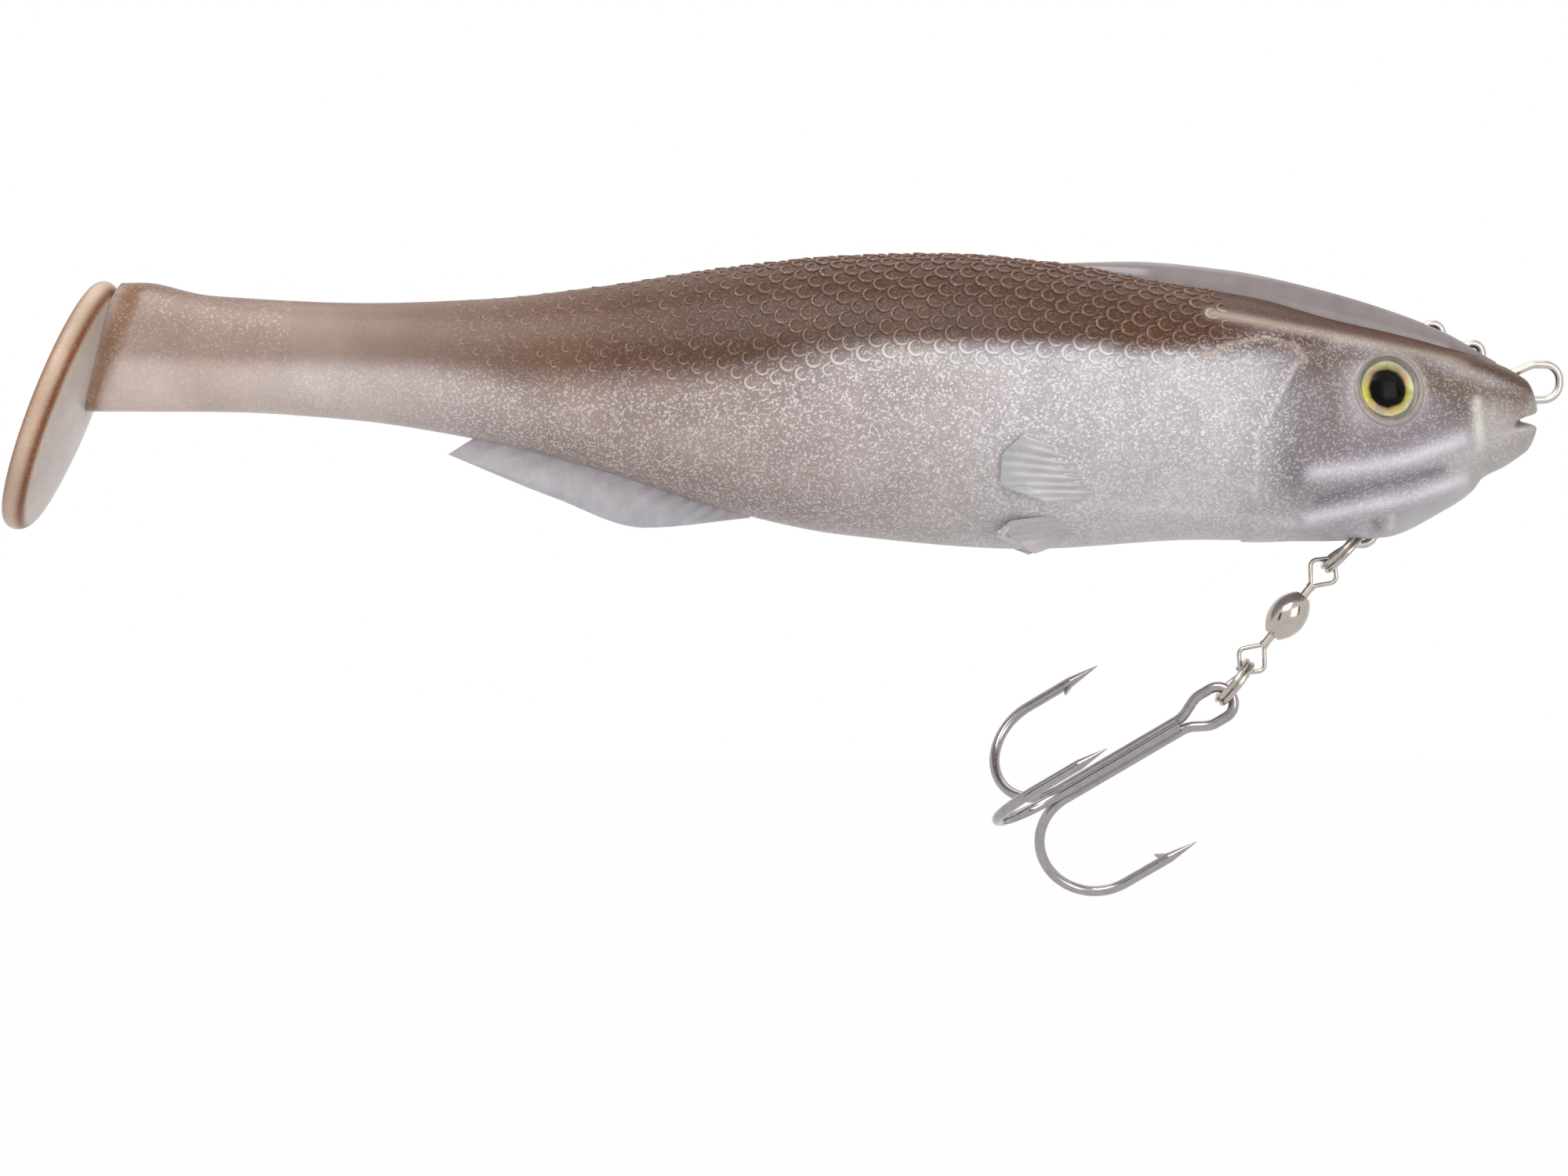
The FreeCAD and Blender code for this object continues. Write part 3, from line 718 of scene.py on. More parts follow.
    def flake(self, x: np.ndarray, z: np.ndarray) -> np.ndarray:
        """Amount of flake at a place in the side view.

        Args:
            x: millimetres of X.
            z: millimetres of Z.

        Returns:
            Amounts from 0 to 1.
        """
        throat = smooth(-24, -17, x) * smooth(0.6, -1.4, z - (-16.0 + 0.42 * (x + 18)))
        stalk = smooth(-140, -150, x)
        brown = smooth(-1, 1, (z - self.edge.at(x)) / self.softness.at(x))
        head = smooth(-38, -32, x)
        return (1 - 0.9 * throat) * (1 - 0.55 * stalk) * (1 - 0.85 * brown) * (1 - 0.4 * head)


@dataclass
class EyeSeat:
    """Where an eye stands: its lens's centre and the way it looks."""

    side: Side
    forward: float = 0.26
    upward: float = 0.14
    lens_radius: float = 4.15

    def centre(self) -> np.ndarray:
        """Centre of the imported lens, in millimetres."""
        low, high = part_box(f"{self.side.name.lower()}_eye_lens")
        return (np.array(low) + np.array(high)) / 2 / MM

    def outward(self) -> np.ndarray:
        """Unit vector along the eye's axis, out of the head."""
        way = np.array([self.forward, self.side.value, self.upward], float)
        return way / np.linalg.norm(way)


@dataclass
class Skin:
    """The soft body in two closed skins, cut in the stalk between the two bends."""

    shape: BodyShape
    cut: float = -165.0
    around: int = 160
    creases: tuple[tuple[Stops, float, float], ...] = (
        (GILL_TOP, 0.24, 0.42), (GILL_EDGE, 0.3, 0.5), (CHEEK, 0.34, 1.5), (JAW, 0.5, 1.1),
        (LIP, 0.3, 0.8), (CHEEK_GROOVE, -0.34, 0.7), (((-9.2, -8.6), (-21, -12.4)), -0.2, 0.6),
        (((-12.5, 1.2), (-9, -0.9)), -0.3, 0.6))

    def relief(self, grid: np.ndarray) -> np.ndarray:
        """Raise the gill cover, jaw and brow lines and open the mouth and eye seats.

        Args:
            grid: points of the bare skin, in millimetres.

        Returns:
            The points with their relief.
        """
        along = np.gradient(grid, axis=0)
        round_ = (np.roll(grid, -1, axis=1) - np.roll(grid, 1, axis=1)) / 2
        normal = np.cross(round_, along)
        normal /= np.maximum(np.linalg.norm(normal, axis=-1, keepdims=True), 1e-9)
        outward = grid - grid.mean(axis=1, keepdims=True)
        normal *= np.sign((normal * outward).sum(-1, keepdims=True) + 1e-12)
        x, y, z = grid[..., 0], grid[..., 1], grid[..., 2]
        height = np.zeros_like(x)
        flank = smooth(0.5, 2.5, np.abs(y))
        for line, rise, wide in self.creases:
            height += flank * rise * np.exp(-(distance_to_line(x, z, line) / wide) ** 2)
        behind = distance_to_line(x, z, GILL_EDGE)
        inside = np.interp(z, [p[1] for p in GILL_EDGE[::-1]], [p[0] for p in GILL_EDGE[::-1]]) < x
        cover = np.where(inside, 1.0, np.exp(-(behind / 0.5) ** 2)) * smooth(-30, -38, x)
        height += 0.35 * flank * cover * smooth(4.0, 1.0, z)
        grid = grid + normal * height[..., None]
        mouth = np.exp(-((z + 5.35 - 0.25 * (x + 2)) / 0.55) ** 2) * smooth(-6.5, -2.2, x)
        grid[..., 0] -= 2.6 * mouth * smooth(-5.0, -1.2, x)
        grid[..., 1] *= 1 - 0.3 * mouth
        for side in Side:
            grid = self.seat(grid, EyeSeat(side))
        return grid

    def seat(self, grid: np.ndarray, eye: EyeSeat) -> np.ndarray:
        """Sink the skin under an eye and roll it up to the lens.

        Args:
            grid: points of the skin, in millimetres.
            eye: the eye that stands there.

        Returns:
            The points with the seat.
        """
        axis = eye.outward()
        away = grid - eye.centre()
        depth = away @ axis
        radius = np.linalg.norm(away - depth[..., None] * axis, axis=-1)
        near = (radius < 7.5) & (depth > -7)
        wall = smooth(eye.lens_radius - 0.25, eye.lens_radius + 0.35, radius)
        target = -1.6 + 1.95 * wall
        pull = smooth(eye.lens_radius + 2.4, eye.lens_radius + 0.4, radius)
        change = np.where(near, (target - depth) * pull, 0)
        return grid + change[..., None] * axis

    def front(self) -> bpy.types.Object:
        """Skin from the lips to the cut."""
        nose = self.shape.nose
        cap = nose - self.shape.nose_round * (1 - np.cos(np.linspace(0.08, math.pi / 2, 14)))
        head = np.arange(cap[-1] - 0.5, -50, -0.5)
        trunk = np.arange(head[-1] - 0.9, self.cut, -0.9)
        x = np.concatenate([cap, head, trunk, [self.cut]])
        grid = self.relief(self.shape.rings(x, self.around))
        points, faces = tube(grid * MM)
        skin = new_object("front_skin", points, faces)
        self.dress(skin, SoftFinish("flaked_plastisol", Glint.HEAVY, contrast=0.48))
        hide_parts("torso")
        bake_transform(skin)
        return skin

    def dress(self, obj: bpy.types.Object, finish: SoftFinish) -> None:
        """Give a piece the fish's tints and a finish.

        Args:
            obj: the piece.
            finish: its soft finish.
        """
        co = np.array([v.co for v in obj.data.vertices]) / MM
        paint(obj, self.shape.tint(co[:, 0], co[:, 2]), self.shape.flake(co[:, 0], co[:, 2]), self.cut)
        obj.data.materials.append(finish.material())


@dataclass
class Tail:
    """The rear of the stalk and the oval paddle, in one closed mesh of two shells."""

    shape: BodyShape
    cut: float = -165.0
    around: int = 160
    tall: float = 35.0
    wide: float = 28.0
    thick: float = 3.1
    lean: float = math.radians(21.3)
    cup: float = 1.9
    centre: tuple[float, float] = (-195.9, -3.1)

    def plane_x(self, z: np.ndarray) -> np.ndarray:
        """X of the paddle's middle plane at a height, in millimetres."""
        return self.centre[0] + (z - self.centre[1]) * math.tan(self.lean)

    def stalk(self) -> np.ndarray:
        """Rings of the stalk, flared where they run into the paddle.

        Returns:
            Points of shape (rings, around, 3), in millimetres.
        """
        end = self.centre[0] + 5.0
        x = np.concatenate([[self.cut], np.arange(self.cut - 0.9, end, -0.9), [end]])
        grid = self.shape.rings(x, self.around)
        share = smooth(-176.0, end, x)[:, None]
        slope = (grid[..., 2] - grid[..., 2].mean(axis=1, keepdims=True)) * math.tan(self.lean)
        grid[..., 0] += slope * share
        flare = np.clip((self.plane_x(grid[..., 2]) + 7.5 - grid[..., 0]) / 6.0, 0, 1) ** 2.4
        grid[..., 1] *= 1 + 0.75 * flare
        return grid

    def disc(self) -> np.ndarray:
        """Rings of the paddle, from the middle of its front face over the rim to its back.

        Returns:
            Points of shape (rings, around, 3), in millimetres.
        """
        face = np.linspace(0.02, 0.9, 22)
        rim = np.linspace(0, math.pi, 17)
        reach = np.concatenate([face, 0.91 + 0.09 * np.sin(rim), face[::-1]])
        half = self.thick / 2
        level = np.concatenate([np.full(22, half), half * np.cos(rim), np.full(22, -half)])
        level = level + self.cup * (1 - reach ** 2) * np.where(level > 0, 1.0, 0.72)
        angle = np.linspace(0, 2 * math.pi, self.around, endpoint=False)[None]
        up = reach[:, None] * np.cos(angle) * self.tall / 2
        across = reach[:, None] * np.sin(angle) * self.wide / 2
        out = np.broadcast_to(level[:, None], up.shape)
        s, c = math.sin(self.lean), math.cos(self.lean)
        x = self.centre[0] + up * s + out * c
        z = self.centre[1] + up * c - out * s
        return np.stack([x, across, z], axis=-1)

    def paddle_tint(self, co: np.ndarray) -> tuple[np.ndarray, np.ndarray]:
        """Colour of the paddle: pale faces, and a rim with painted shade, a dark orange-brown line, along each
        edge.

        Args:
            co: its points, in millimetres.

        Returns:
            Linear colours, and how much of each point is rim.
        """
        s, c = math.sin(self.lean), math.cos(self.lean)
        dx, dz = co[:, 0] - self.centre[0], co[:, 2] - self.centre[1]
        up, out = dx * s + dz * c, dx * c - dz * s
        reach = np.hypot(up / (self.tall / 2), co[:, 1] / (self.wide / 2))
        face = np.array(linear((214, 200, 192)))
        rim_edge_shade = np.array(linear((134, 78, 40)))
        pale = np.array(linear((212, 186, 164)))
        # painted shade: darker orange-brown bands where the rim's edges are seen edge-on
        edge = np.exp(-((np.abs(out) - self.thick / 2 + 0.15) / 0.58) ** 2)[:, None]
        rim = smooth(0.9, 0.95, reach)[:, None]
        band = pale * (1 - edge) + rim_edge_shade * edge
        glow = smooth(0.7, 0.92, reach)[:, None]
        inner = face * (1 - 0.35 * glow) + pale * 0.35 * glow
        return inner * (1 - rim) + band * rim, rim[:, 0]

    def build(self) -> bpy.types.Object:
        """Make the tail's skin of stalk and paddle."""
        stalk_points, faces = tube(self.stalk() * MM)
        disc_points, more = tube(self.disc() * MM, len(stalk_points))
        skin = new_object("tail_skin", np.concatenate([stalk_points, disc_points]), faces + more)
        self.face_out(skin, len(stalk_points))
        co = np.array([v.co for v in skin.data.vertices]) / MM
        tint = self.shape.tint(co[:, 0], co[:, 2])
        near = np.abs(co[:, 0] - self.plane_x(co[:, 2]) - 4.3)
        crease = np.exp(-(near / 1.3) ** 4)[:, None]
        tint = tint * (1 - 0.85 * crease) + np.array(linear((140, 98, 66))) * 0.85 * crease
        first = len(stalk_points)
        tint[first:], rim = self.paddle_tint(co[first:])
        flake = np.full(len(co), 0.42)
        flake[first:] = 0.5 - 0.2 * rim
        paint(skin, tint, flake, self.cut)
        skin.data.materials.append(SoftFinish("tail_plastisol", Glint.FINE, roughness=0.3,
                                              subsurface=0.45, depth=2.4 * MM).material())
        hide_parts("tail_stalk", "tail_paddle")
        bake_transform(skin)
        return skin

    @staticmethod
    def face_out(obj: bpy.types.Object, first: int) -> None:
        """Turn each of the two shells outwards.

        Args:
            obj: the mesh of both shells.
            first: the number of vertices in the first shell; not used.
        """
        import bmesh
        bm = bmesh.new()
        bm.from_mesh(obj.data)
        bmesh.ops.recalc_face_normals(bm, faces=bm.faces[:])
        bm.to_mesh(obj.data)
        bm.free()


@dataclass
class Scales:
    """Raised half-moon scales on the upper flanks, smaller and fainter towards the tail."""

    shape: BodyShape
    front: float = -42.5
    rear: float = -143.5
    pitch: float = 3.3
    row_pitch: float = 1.62
    row_shift: float = 1.83
    rows: int = 14
    arc_radius: float = 1.0
    ridge: float = 0.24

    def points(self) -> tuple[np.ndarray, np.ndarray, np.ndarray]:
        """Places, turns and sizes of the scales on both sides.

        Returns:
            Arrays of places in metres, Euler turns and sizes.
        """
        random = np.random.default_rng(7)
        places, turns, sizes = [], [], []
        for row in range(self.rows):
            offset = -self.row_shift * row % self.pitch
            for x in np.arange(self.front - offset, self.rear, -self.pitch):
                drop = 0.5 + self.row_pitch * row
                spot = self.on_skin(x, drop)
                if spot is None:
                    continue
                y, z, lean = spot
                edge = float(self.shape.edge.at(np.array(x)))
                fade = 1 - smooth(edge - 0.5, edge - 4.2, np.array(z))
                size = float(fade * Curve(((-143.5, 0.34), (-125, 0.5), (-108, 0.74), (-96, 1.0),
                                           (-46, 1.0), (-42, 0.7))).at(np.array(x)))
                if size < 0.22:
                    continue
                size *= random.uniform(0.92, 1.08)
                slope = float(self.shape.top.at(np.array(x - 1)) - self.shape.top.at(np.array(x + 1))) / 2
                for side in Side:
                    places.append((x * MM, side.value * y * MM, z * MM))
                    turn = Matrix.Rotation(-side.value * (math.pi / 2 - lean), 3, "X")
                    swing = Matrix.Rotation(slope + random.uniform(-0.08, 0.08), 3, "Y")
                    turns.append(tuple((swing @ turn).to_euler()))
                    sizes.append(size)
        return np.array(places), np.array(turns), np.array(sizes)

    def on_skin(self, x: float, drop: float) -> tuple[float, float, float] | None:
        """Find the skin at an arc length down from the middle of the back.

        Args:
            x: millimetres of X.
            drop: millimetres along the section from its top.

        Returns:
            Y, Z and the lean of the skin from level, or None below the flank.
        """
        middle, tall, half = (float(v) for v in self.shape.sizes(np.array(x)))
        angle = np.linspace(math.pi / 2, 0, 80)
        y = half * np.cos(angle) ** (2 / self.shape.power)
        z = middle + tall * np.sin(angle) ** (2 / self.shape.power)
        length = np.concatenate([[0], np.cumsum(np.hypot(np.diff(y), np.diff(z)))])
        drop = drop + 0.9
        if drop > length[-1] * 0.98:
            return None
        i = int(np.clip(np.searchsorted(length, drop), 1, 78))
        lean = math.atan2(y[i + 1] - y[i - 1], -(z[i + 1] - z[i - 1]))
        return float(np.interp(drop, length, y)), float(np.interp(drop, length, z)), lean

    def tree(self, finish: bpy.types.Material) -> bpy.types.NodeTree:
        """Geometry nodes that set one half-moon ridge on each point.

        Args:
            finish: the scales' material.

        Returns:
            The node tree, with inputs for the arc's radius and the ridge's thickness.
        """
        tree = bpy.data.node_groups.new("scale_ridges", "GeometryNodeTree")
        tree.interface.new_socket("Geometry", in_out="INPUT", socket_type="NodeSocketGeometry")
        for name in ("Arc radius", "Ridge radius"):
            tree.interface.new_socket(name, in_out="INPUT", socket_type="NodeSocketFloat")
        tree.interface.new_socket("Geometry", in_out="OUTPUT", socket_type="NodeSocketGeometry")
        made = {}
        for key, kind in (("in", "NodeGroupInput"), ("out", "NodeGroupOutput"),
                          ("arc", "GeometryNodeCurveArc"), ("along", "GeometryNodeSplineParameter"),
                          ("taper", "ShaderNodeFloatCurve"), ("radius", "GeometryNodeSetCurveRadius"),
                          ("ring", "GeometryNodeCurvePrimitiveCircle"), ("sweep", "GeometryNodeCurveToMesh"),
                          ("set", "GeometryNodeInstanceOnPoints"), ("turn", "GeometryNodeInputNamedAttribute"),
                          ("size", "GeometryNodeInputNamedAttribute"), ("euler", "FunctionNodeEulerToRotation"),
                          ("real", "GeometryNodeRealizeInstances"), ("coat", "GeometryNodeSetMaterial"),
                          ("even", "GeometryNodeSetShadeSmooth")):
            made[key] = tree.nodes.new(kind)
        made["arc"].inputs["Resolution"].default_value = 9
        made["arc"].inputs["Start Angle"].default_value = math.radians(85)
        made["arc"].inputs["Sweep Angle"].default_value = math.radians(245)
        made["ring"].inputs["Resolution"].default_value = 6
        curve = made["taper"].mapping.curves[0]
        curve.points[0].location = (0, 0.25)
        curve.points[1].location = (1, 0.25)
        curve.points.new(0.5, 1.0)
        made["taper"].mapping.update()
        made["turn"].data_type = "FLOAT_VECTOR"
        made["turn"].inputs["Name"].default_value = "turn"
        made["size"].data_type = "FLOAT"
        made["size"].inputs["Name"].default_value = "size"
        made["coat"].inputs["Material"].default_value = finish
        for source, out, target, into in (
                ("in", "Arc radius", "arc", "Radius"), ("in", "Ridge radius", "ring", "Radius"),
                ("arc", "Curve", "radius", "Curve"), ("along", "Factor", "taper", "Value"),
                ("radius", "Curve", "sweep", "Curve"), ("ring", "Curve", "sweep", "Profile Curve"),
                ("in", "Geometry", "set", "Points"), ("sweep", "Mesh", "set", "Instance"),
                ("turn", "Attribute", "euler", "Euler"), ("euler", "Rotation", "set", "Rotation"),
                ("size", "Attribute", "set", "Scale"), ("set", "Instances", "real", "Geometry"),
                ("real", "Geometry", "even", "Geometry"), ("even", "Geometry", "coat", "Geometry"),
                ("coat", "Geometry", "out", "Geometry")):
            tree.links.new(made[source].outputs[out], made[target].inputs[into])
        scale = made["sweep"].inputs.get("Scale")
        if scale is not None:
            tree.links.new(made["taper"].outputs[0], scale)
        tree.links.new(made["taper"].outputs[0], made["radius"].inputs["Radius"])
        made["sweep"].inputs["Fill Caps"].default_value = True
        return tree

    def build(self) -> bpy.types.Object:
        """Make the relief as one plain mesh."""
        places, turns, sizes = self.points()
        mesh = bpy.data.meshes.new("scale_seeds")
        mesh.from_pydata([tuple(p) for p in places], [], [])
        mesh.attributes.new("turn", "FLOAT_VECTOR", "POINT").data.foreach_set(
            "vector", turns.astype(np.float32).ravel())
        mesh.attributes.new("size", "FLOAT", "POINT").data.foreach_set("value", sizes.astype(np.float32))
        seeds = bpy.data.objects.new("scale_seeds", mesh)
        bpy.context.scene.collection.objects.link(seeds)
        finish = SoftFinish("scale_plastisol", Glint.FINE, roughness=0.26, contrast=0.35).material()
        modifier = seeds.modifiers.new("scales", "NODES")
        modifier.node_group = self.tree(finish)
        for item in modifier.node_group.interface.items_tree:
            if item.name == "Arc radius" and item.in_out == "INPUT":
                modifier[item.identifier] = self.arc_radius * MM
            if item.name == "Ridge radius" and item.in_out == "INPUT":
                modifier[item.identifier] = self.ridge * MM
        evaluated = seeds.evaluated_get(bpy.context.evaluated_depsgraph_get())
        plain = bpy.data.meshes.new_from_object(evaluated)
        bpy.data.objects.remove(seeds)
        scales = bpy.data.objects.new("scale_relief", plain)
        bpy.context.scene.collection.objects.link(scales)
        co = np.array([v.co for v in plain.vertices]) / MM
        tint = self.shape.tint(co[:, 0], co[:, 2])
        # painted highlight: the scales take a much lighter copy of the skin's tint
        scale_highlight = np.clip(tint * 2.0 + 0.05, 0, 0.8)
        paint(scales, scale_highlight, np.full(len(co), 0.5), -165.0)
        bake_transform(scales)
        return scales


@dataclass
class BackRidge:
    """Two clear lips along the back with a groove between them."""

    shape: BodyShape
    front: float = -6.2
    rear: float = -65.0
    half: float = 3.1
    profile: Stops = ((-1.0, -0.6), (-0.98, 0.1), (-0.9, 0.5), (-0.74, 0.82), (-0.55, 0.97),
                      (-0.4, 1.0), (-0.26, 0.93), (-0.17, 0.7), (-0.13, 0.3), (-0.05, 0.12))

    def build(self) -> bpy.types.Object:
        """Make the ridge, which rides on the front of the fish."""
        half = list(self.profile)
        section = half + [(-y, z) for y, z in half[::-1]]
        x = np.linspace(self.front, self.rear, 90)
        skin = self.shape.top.at(x)
        rise = np.maximum(self.shape.outline.at(x) - skin, 0.05)
        taper = np.sqrt(np.clip(smooth(self.front, self.front - 9, x), 0.05, 1))
        taper *= np.sqrt(np.clip(smooth(self.rear, self.rear + 14, x), 0.03, 1))
        grid = np.zeros((len(x), len(section), 3))
        for j, (across, up) in enumerate(section):
            grid[:, j, 0] = x
            grid[:, j, 1] = across * self.half * taper
            grid[:, j, 2] = skin - 0.25 + (rise + 0.25) * up
        points, faces = tube(grid * MM)
        ridge = new_object("back_ridge", points, faces)
        ridge.data.materials.append(ClearSoftFinish("ridge_plastisol", (158, 146, 146), 0.15, 0.3, 0.0).material())
        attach(ridge, "root")
        return ridge


@dataclass
class Fin:
    """One fin: a thin closed sheet with rays, from a root line to a free edge."""

    name: str
    root: Stops
    edge: Stops
    rays: int
    thick: float
    out: float = 0.0
    color: Rgb = (206, 202, 206)
    clearness: float = 0.35
    steps: int = 18
    across: int = 96

    def sheet(self, shape: BodyShape, side: Side | None) -> np.ndarray:
        """Points of the fin's two faces as one closed tube.

        Args:
            shape: the body that it grows from.
            side: the side it stands on, or None for the middle.

        Returns:
            Points of shape (steps, around, 3), in millimetres.
        """
        v = np.linspace(0, 1, self.across)
        root = np.stack([Curve(tuple((i / (len(self.root) - 1), p[k]) for i, p in enumerate(self.root))).at(v)
                         for k in (0, 1)], axis=-1)
        edge = np.stack([Curve(tuple((i / (len(self.edge) - 1), p[k]) for i, p in enumerate(self.edge))).at(v)
                         for k in (0, 1)], axis=-1)
        u = np.linspace(0, 1, self.steps)[:, None, None]
        flat = root[None] * (1 - u) + edge[None] * u
        ridge = 0.5 + 0.5 * np.cos(2 * math.pi * self.rays * v)[None]
        ends = np.sqrt(np.clip(np.minimum(v, 1 - v) * 14, 0.02, 1))[None]
        thick = self.thick / 2 * (1 - 0.55 * u[..., 0]) * (0.55 + 0.45 * ridge) * ends
        thick *= np.sqrt(np.clip((1.02 - u[..., 0]) * 9, 0.05, 1))
        middle = np.zeros_like(thick)
        if side is not None:
            skin = shape.skin_y(flat[:1, :, 0] + 0 * thick[:1], flat[:1, :, 1]) - 0.5
            middle = side.value * (skin + self.out * u[..., 0] ** 1.2 + 0 * thick)
        near = np.stack([flat[..., 0], middle - thick, flat[..., 1]], axis=-1)
        far = np.stack([flat[..., 0], middle + thick, flat[..., 1]], axis=-1)
        return np.concatenate([near, far[:, ::-1]], axis=1)

    def build(self, shape: BodyShape, side: Side | None) -> bpy.types.Object:
        """Make the fin on one side or in the middle.

        Args:
            shape: the body that it grows from.
            side: the side it stands on, or None for the middle.

        Returns:
            The fin's object.
        """
        points, faces = tube(self.sheet(shape, side) * MM)
        label = self.name if side is None else f"{side.name.lower()}_{self.name}"
        fin = new_object(label, points, faces)
        fin.data.materials.append(ClearSoftFinish(f"{label}_plastisol", self.color, self.clearness).material())
        if side is None:
            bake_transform(fin)
        else:
            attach(fin, "root")
        return fin


@dataclass
class Eyes:
    """The two domed eyes: finishes for lens and foil, and a soft collar round each."""

    collar_radius: float = 4.42
    collar_thick: float = 0.42

    def collar(self, seat: EyeSeat) -> bpy.types.Object:
        """Make the soft rim that holds a lens.

        Args:
            seat: the eye's place.

        Returns:
            The collar's object.
        """
        axis = Vector(seat.outward())
        side = axis.cross(Vector((0, 0, 1))).normalized()
        up = side.cross(axis).normalized()
        turns = np.linspace(0, 2 * math.pi, 72, endpoint=False)
        round_ = np.linspace(0, 2 * math.pi, 16, endpoint=False)
        points = []
        for t in turns:
            low = 0.5 - 0.5 * math.sin(t)
            radius = self.collar_radius + 0.25 * low
            ray = np.array(side) * math.cos(t) + np.array(up) * math.sin(t)
            for r in round_:
                swell = self.collar_thick * (1 + 0.45 * low)
                points.append(seat.centre() + ray * (radius + swell * math.cos(r))
                              + np.array(axis) * (0.05 + 0.8 * swell * math.sin(r)))
        faces = []
        n, m = len(turns), len(round_)
        for i in range(n):
            for j in range(m):
                faces.append((i * m + j, i * m + (j + 1) % m, (i + 1) % n * m + (j + 1) % m, (i + 1) % n * m + j))
        collar = new_object(f"{seat.side.name.lower()}_eye_collar", np.array(points) * MM, faces)
        name = f"{seat.side.name.lower()}_collar_plastisol"
        collar.data.materials.append(ClearSoftFinish(name, (186, 174, 168), 0.3).material())
        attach(collar, "root")
        return collar

    def build(self) -> None:
        """Finish both eyes."""
        for side in Side:
            seat = EyeSeat(side)
            self.collar(seat)
            label = side.name.lower()
            low, high = (np.array(v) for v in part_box(f"{label}_eye_foil"))
            coat(f"{label}_eye_foil", FoilFinish(f"{label}_iris_foil", tuple((low + high) / 2),
                                                 3.45 * MM).material())
            coat(f"{label}_eye_lens", LensFinish(f"{label}_clear_dome").material())


def coat(node: str, material: bpy.types.Material) -> None:
    """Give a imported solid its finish.

    Args:
        node: the solid's name.
        material: its finish.
    """
    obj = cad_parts[node]
    if obj.material_slots:
        for slot in obj.material_slots:
            slot.material = material
    else:
        obj.data.materials.append(material)


@dataclass
class Hardware:
    """Finishes of the wire, weight, rings, swivel and treble."""

    wire: MetalFinish = MetalFinish("bright_stainless_wire", (196, 190, 184), 0.2)
    weight: MetalFinish = MetalFinish("cast_weight_grey", (120, 118, 120), 0.55, stain_share=0.6)
    nickel: MetalFinish = MetalFinish("bright_nickel_plate", (186, 178, 170), 0.15, stain=(140, 122, 104))
    dark: MetalFinish = MetalFinish("black_nickel_plate", (164, 158, 162), 0.16, stain=(96, 88, 96))
    braze: MetalFinish = MetalFinish("braze_fillet", (150, 144, 142), 0.34, stain=(120, 104, 92))

    def build(self) -> None:
        """Coat every metal piece."""
        coat("harness_wire", self.wire.material())
        coat("keel_weight", self.weight.material())
        nickel = self.nickel.material()
        for node in ("upper_split_ring", "swivel_upper_eye", "swivel_barrel", "swivel_lower_eye",
                     "lower_split_ring"):
            coat(node, nickel)
        dark = self.dark.material()
        for node in ("treble_double_hook", "treble_single_hook"):
            coat(node, dark)
        coat("treble_braze", self.braze.material())


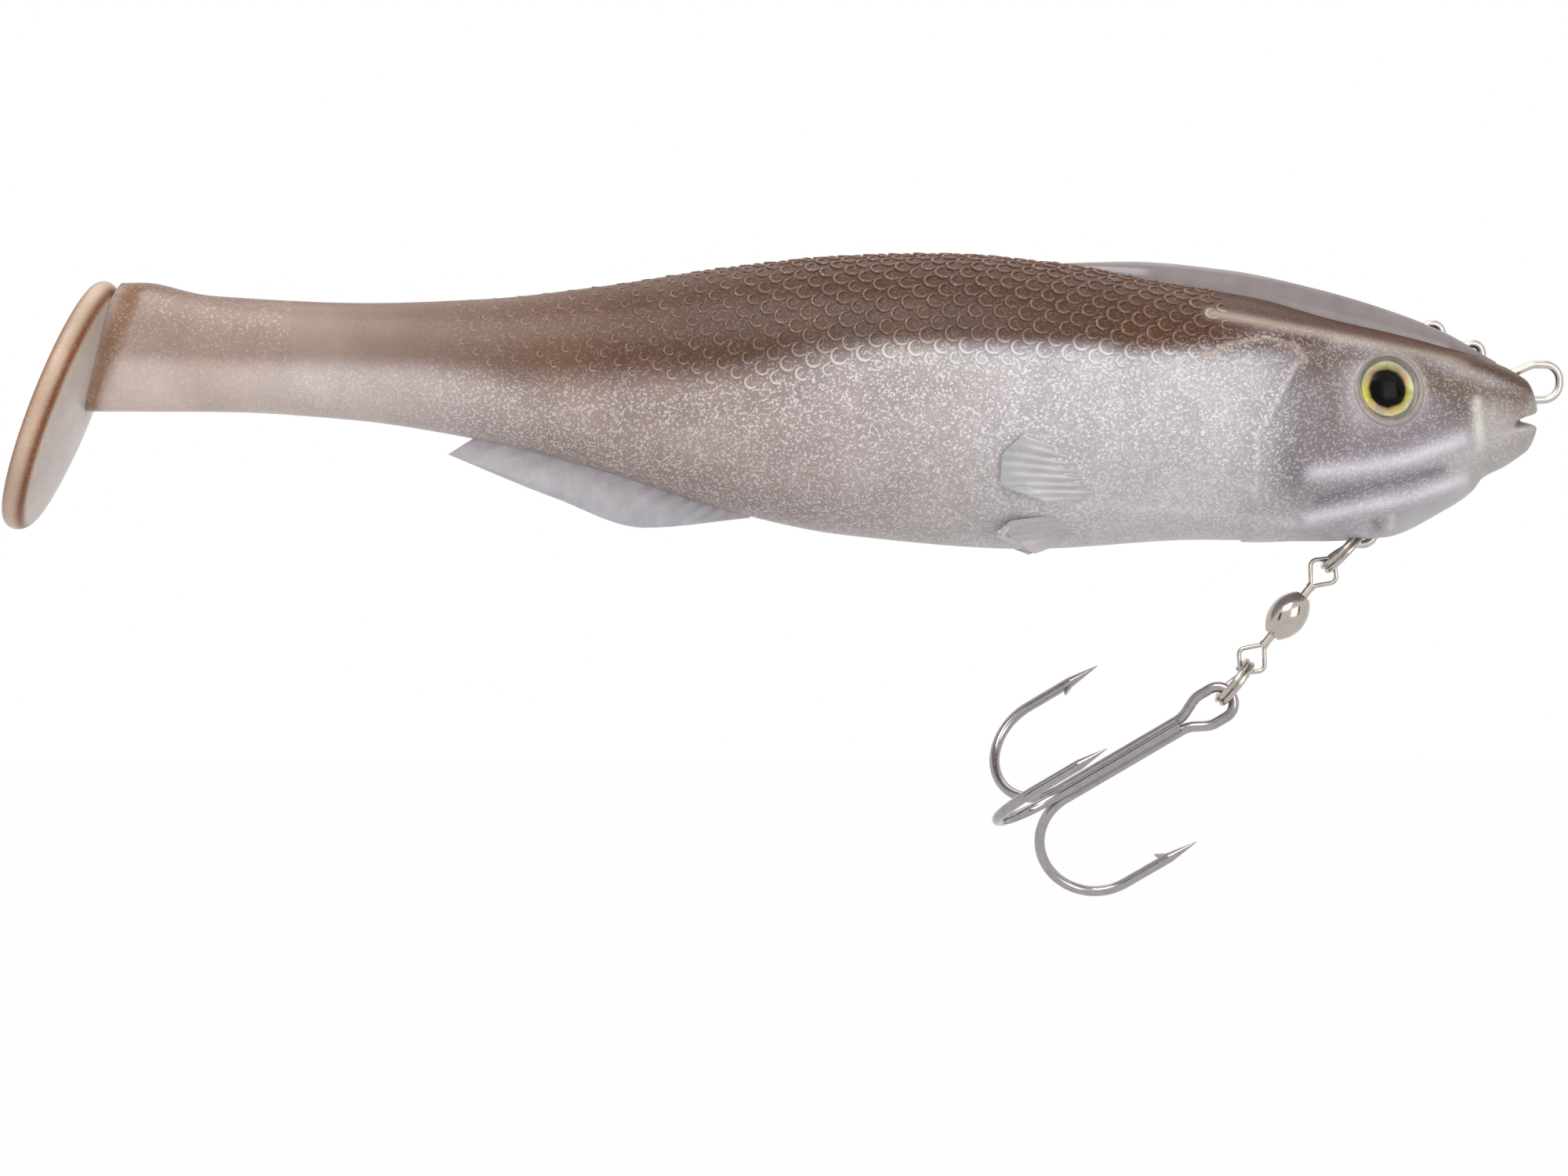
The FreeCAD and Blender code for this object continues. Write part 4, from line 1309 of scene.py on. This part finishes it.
# ---------------------------------------------------------------- studio
@dataclass
class Studio:
    """Pale floor, soft lamps, dark cards for the metal to mirror, and the camera."""

    view_width: float = 207.36 * MM
    distance: float = 0.5
    aim: tuple[float, float] = (-0.10026, -0.02727)
    floor: float = -0.125

    def camera(self) -> None:
        """Look straight at the fish's right side."""
        data = bpy.data.cameras.new("side_camera")
        data.sensor_width = 36.0
        data.sensor_fit = "HORIZONTAL"
        data.lens = data.sensor_width * self.distance / self.view_width
        data.clip_start = 0.01
        camera = bpy.data.objects.new("side_camera", data)
        camera.location = (self.aim[0], -self.distance, self.aim[1])
        camera.rotation_euler = Euler((math.pi / 2, 0, 0))
        bpy.context.scene.collection.objects.link(camera)
        bpy.context.scene.camera = camera

    def lamp(self, name: str, place: tuple[float, float, float], size: float, power: float) -> None:
        """Add a soft square lamp that faces the fish.

        Args:
            name: the lamp's name.
            place: where it stands, in metres.
            size: its side.
            power: its power in watts.
        """
        data = bpy.data.lights.new(name, "AREA")
        data.shape = "SQUARE"
        data.size = size
        data.energy = power
        lamp = bpy.data.objects.new(name, data)
        lamp.location = place
        aim = Vector((self.aim[0], 0, 0)) - Vector(place)
        lamp.rotation_euler = aim.to_track_quat("-Z", "Y").to_euler()
        bpy.context.scene.collection.objects.link(lamp)

    def panel(self, name: str, corners: list[tuple[float, float, float]],
              material: bpy.types.Material) -> None:
        """Add a flat stage piece.

        Args:
            name: the piece's name.
            corners: its corners, in metres.
            material: its finish.
        """
        mesh = bpy.data.meshes.new(name)
        mesh.from_pydata(corners, [], [tuple(range(len(corners)))])
        mesh.materials.append(material)
        obj = bpy.data.objects.new(name, mesh)
        bpy.context.scene.collection.objects.link(obj)

    def floor_material(self) -> bpy.types.Material:
        """Pale floor that the camera and mirrors see as white, with a light shadow."""
        g = Graph("pale_floor")
        rays = g.add("ShaderNodeLightPath")
        seen = g.math("MAXIMUM", rays.outputs["Is Camera Ray"],
                      g.math("MAXIMUM", rays.outputs["Is Glossy Ray"], rays.outputs["Is Transmission Ray"]))
        matt = g.add("ShaderNodeBsdfDiffuse", {"Color": (0.86, 0.86, 0.86, 1)})
        white = g.add("ShaderNodeEmission", {"Color": (1, 1, 1, 1), "Strength": 1.0})
        mixed = g.add("ShaderNodeMixShader", {0: g.math("MULTIPLY", seen, 0.985), 1: matt.outputs[0],
                                              2: white.outputs[0]})
        return g.finish(mixed)

    def world(self) -> None:
        """Soft white surroundings, dimmer as a lamp than as a backdrop."""
        world = bpy.data.worlds.new("studio_world")
        world.use_nodes = True
        tree = world.node_tree
        rays = tree.nodes.new("ShaderNodeLightPath")
        back = tree.nodes["Background"]
        back.inputs["Color"].default_value = (1, 1, 1, 1)
        level = tree.nodes.new("ShaderNodeMapRange")
        level.inputs["To Min"].default_value = 0.3
        level.inputs["To Max"].default_value = 1.0
        first = tree.nodes.new("ShaderNodeMath")
        first.operation = "MAXIMUM"
        second = tree.nodes.new("ShaderNodeMath")
        second.operation = "MAXIMUM"
        tree.links.new(rays.outputs["Is Camera Ray"], first.inputs[0])
        tree.links.new(rays.outputs["Is Glossy Ray"], first.inputs[1])
        tree.links.new(first.outputs[0], second.inputs[0])
        tree.links.new(rays.outputs["Is Transmission Ray"], second.inputs[1])
        tree.links.new(second.outputs[0], level.inputs["Value"])
        tree.links.new(level.outputs[0], back.inputs["Strength"])
        bpy.context.scene.world = world

    def build(self) -> None:
        """Set the whole studio."""
        bpy.context.scene.view_settings.view_transform = "Standard"
        self.world()
        self.camera()
        half = 1.6
        self.panel("floor", [(-half, -half, self.floor), (half, -half, self.floor),
                             (half, half, self.floor), (-half, half, self.floor)], self.floor_material())
        g = Graph("dark_card")
        card = g.finish(g.add("ShaderNodeBsdfDiffuse", {"Color": (0.03, 0.03, 0.035, 1)}))
        self.panel("left_card", [(-0.62, -0.5, -0.1), (-0.5, -0.62, -0.1), (-0.5, -0.62, 0.3),
                                 (-0.62, -0.5, 0.3)], card)
        self.panel("right_card", [(0.42, -0.5, -0.1), (0.5, -0.4, -0.1), (0.5, -0.4, 0.3),
                                  (0.42, -0.5, 0.3)], card)
        self.lamp("key_lamp", (-0.25, -0.55, 0.6), 0.5, 3.9)
        self.lamp("front_lamp", (0.35, -0.7, 0.1), 0.5, 1.9)
        self.lamp("top_lamp", (-0.1, 0.2, 0.7), 0.6, 1.1)


# ---------------------------------------------------------------- all of it
PECTORAL = Fin("pectoral_fin", ((-60.8, -10.6), (-59.4, -13.0), (-58.6, -15.8)),
               ((-69.6, -7.6), (-72.3, -10.6), (-72.4, -13.6), (-66.5, -16.2)), 7, 0.9, 1.6,
               (240, 232, 232), 0.4)
PELVIC = Fin("pelvic_fin", ((-64.0, -17.6), (-62.4, -19.2), (-61.6, -20.6)),
             ((-71.0, -18.6), (-72.6, -20.4), (-67.5, -22.8)), 6, 0.9, 0.8, (238, 230, 232), 0.4)
ANAL = Fin("anal_fin", ((-140.4, -6.9), (-124.6, -10.8), (-112.0, -14.8), (-104.5, -17.2)),
           ((-144.7, -9.6), (-131.0, -15.2), (-118.5, -19.3), (-104.8, -18.0)), 13, 1.3, 0.0,
           (214, 208, 214), 0.2)


def main() -> None:
    """Build every piece in order and report each."""
    logging.basicConfig(level=logging.INFO, format="%(name)s: %(message)s")
    Studio().build()
    log.info("studio set")
    shape = BodyShape()
    for piece in (Skin(shape).front(), Tail(shape).build(), Scales(shape).build(),
                  BackRidge(shape).build(), ANAL.build(shape, None)):
        log.info("%s: %d faces", piece.name, len(piece.data.polygons))
    for fin in (PECTORAL, PELVIC):
        for side in Side:
            piece = fin.build(shape, side)
            log.info("%s: %d faces", piece.name, len(piece.data.polygons))
    Eyes().build()
    Hardware().build()
    log.info("eyes and hardware finished")


if __name__ == "__main__":
    main()
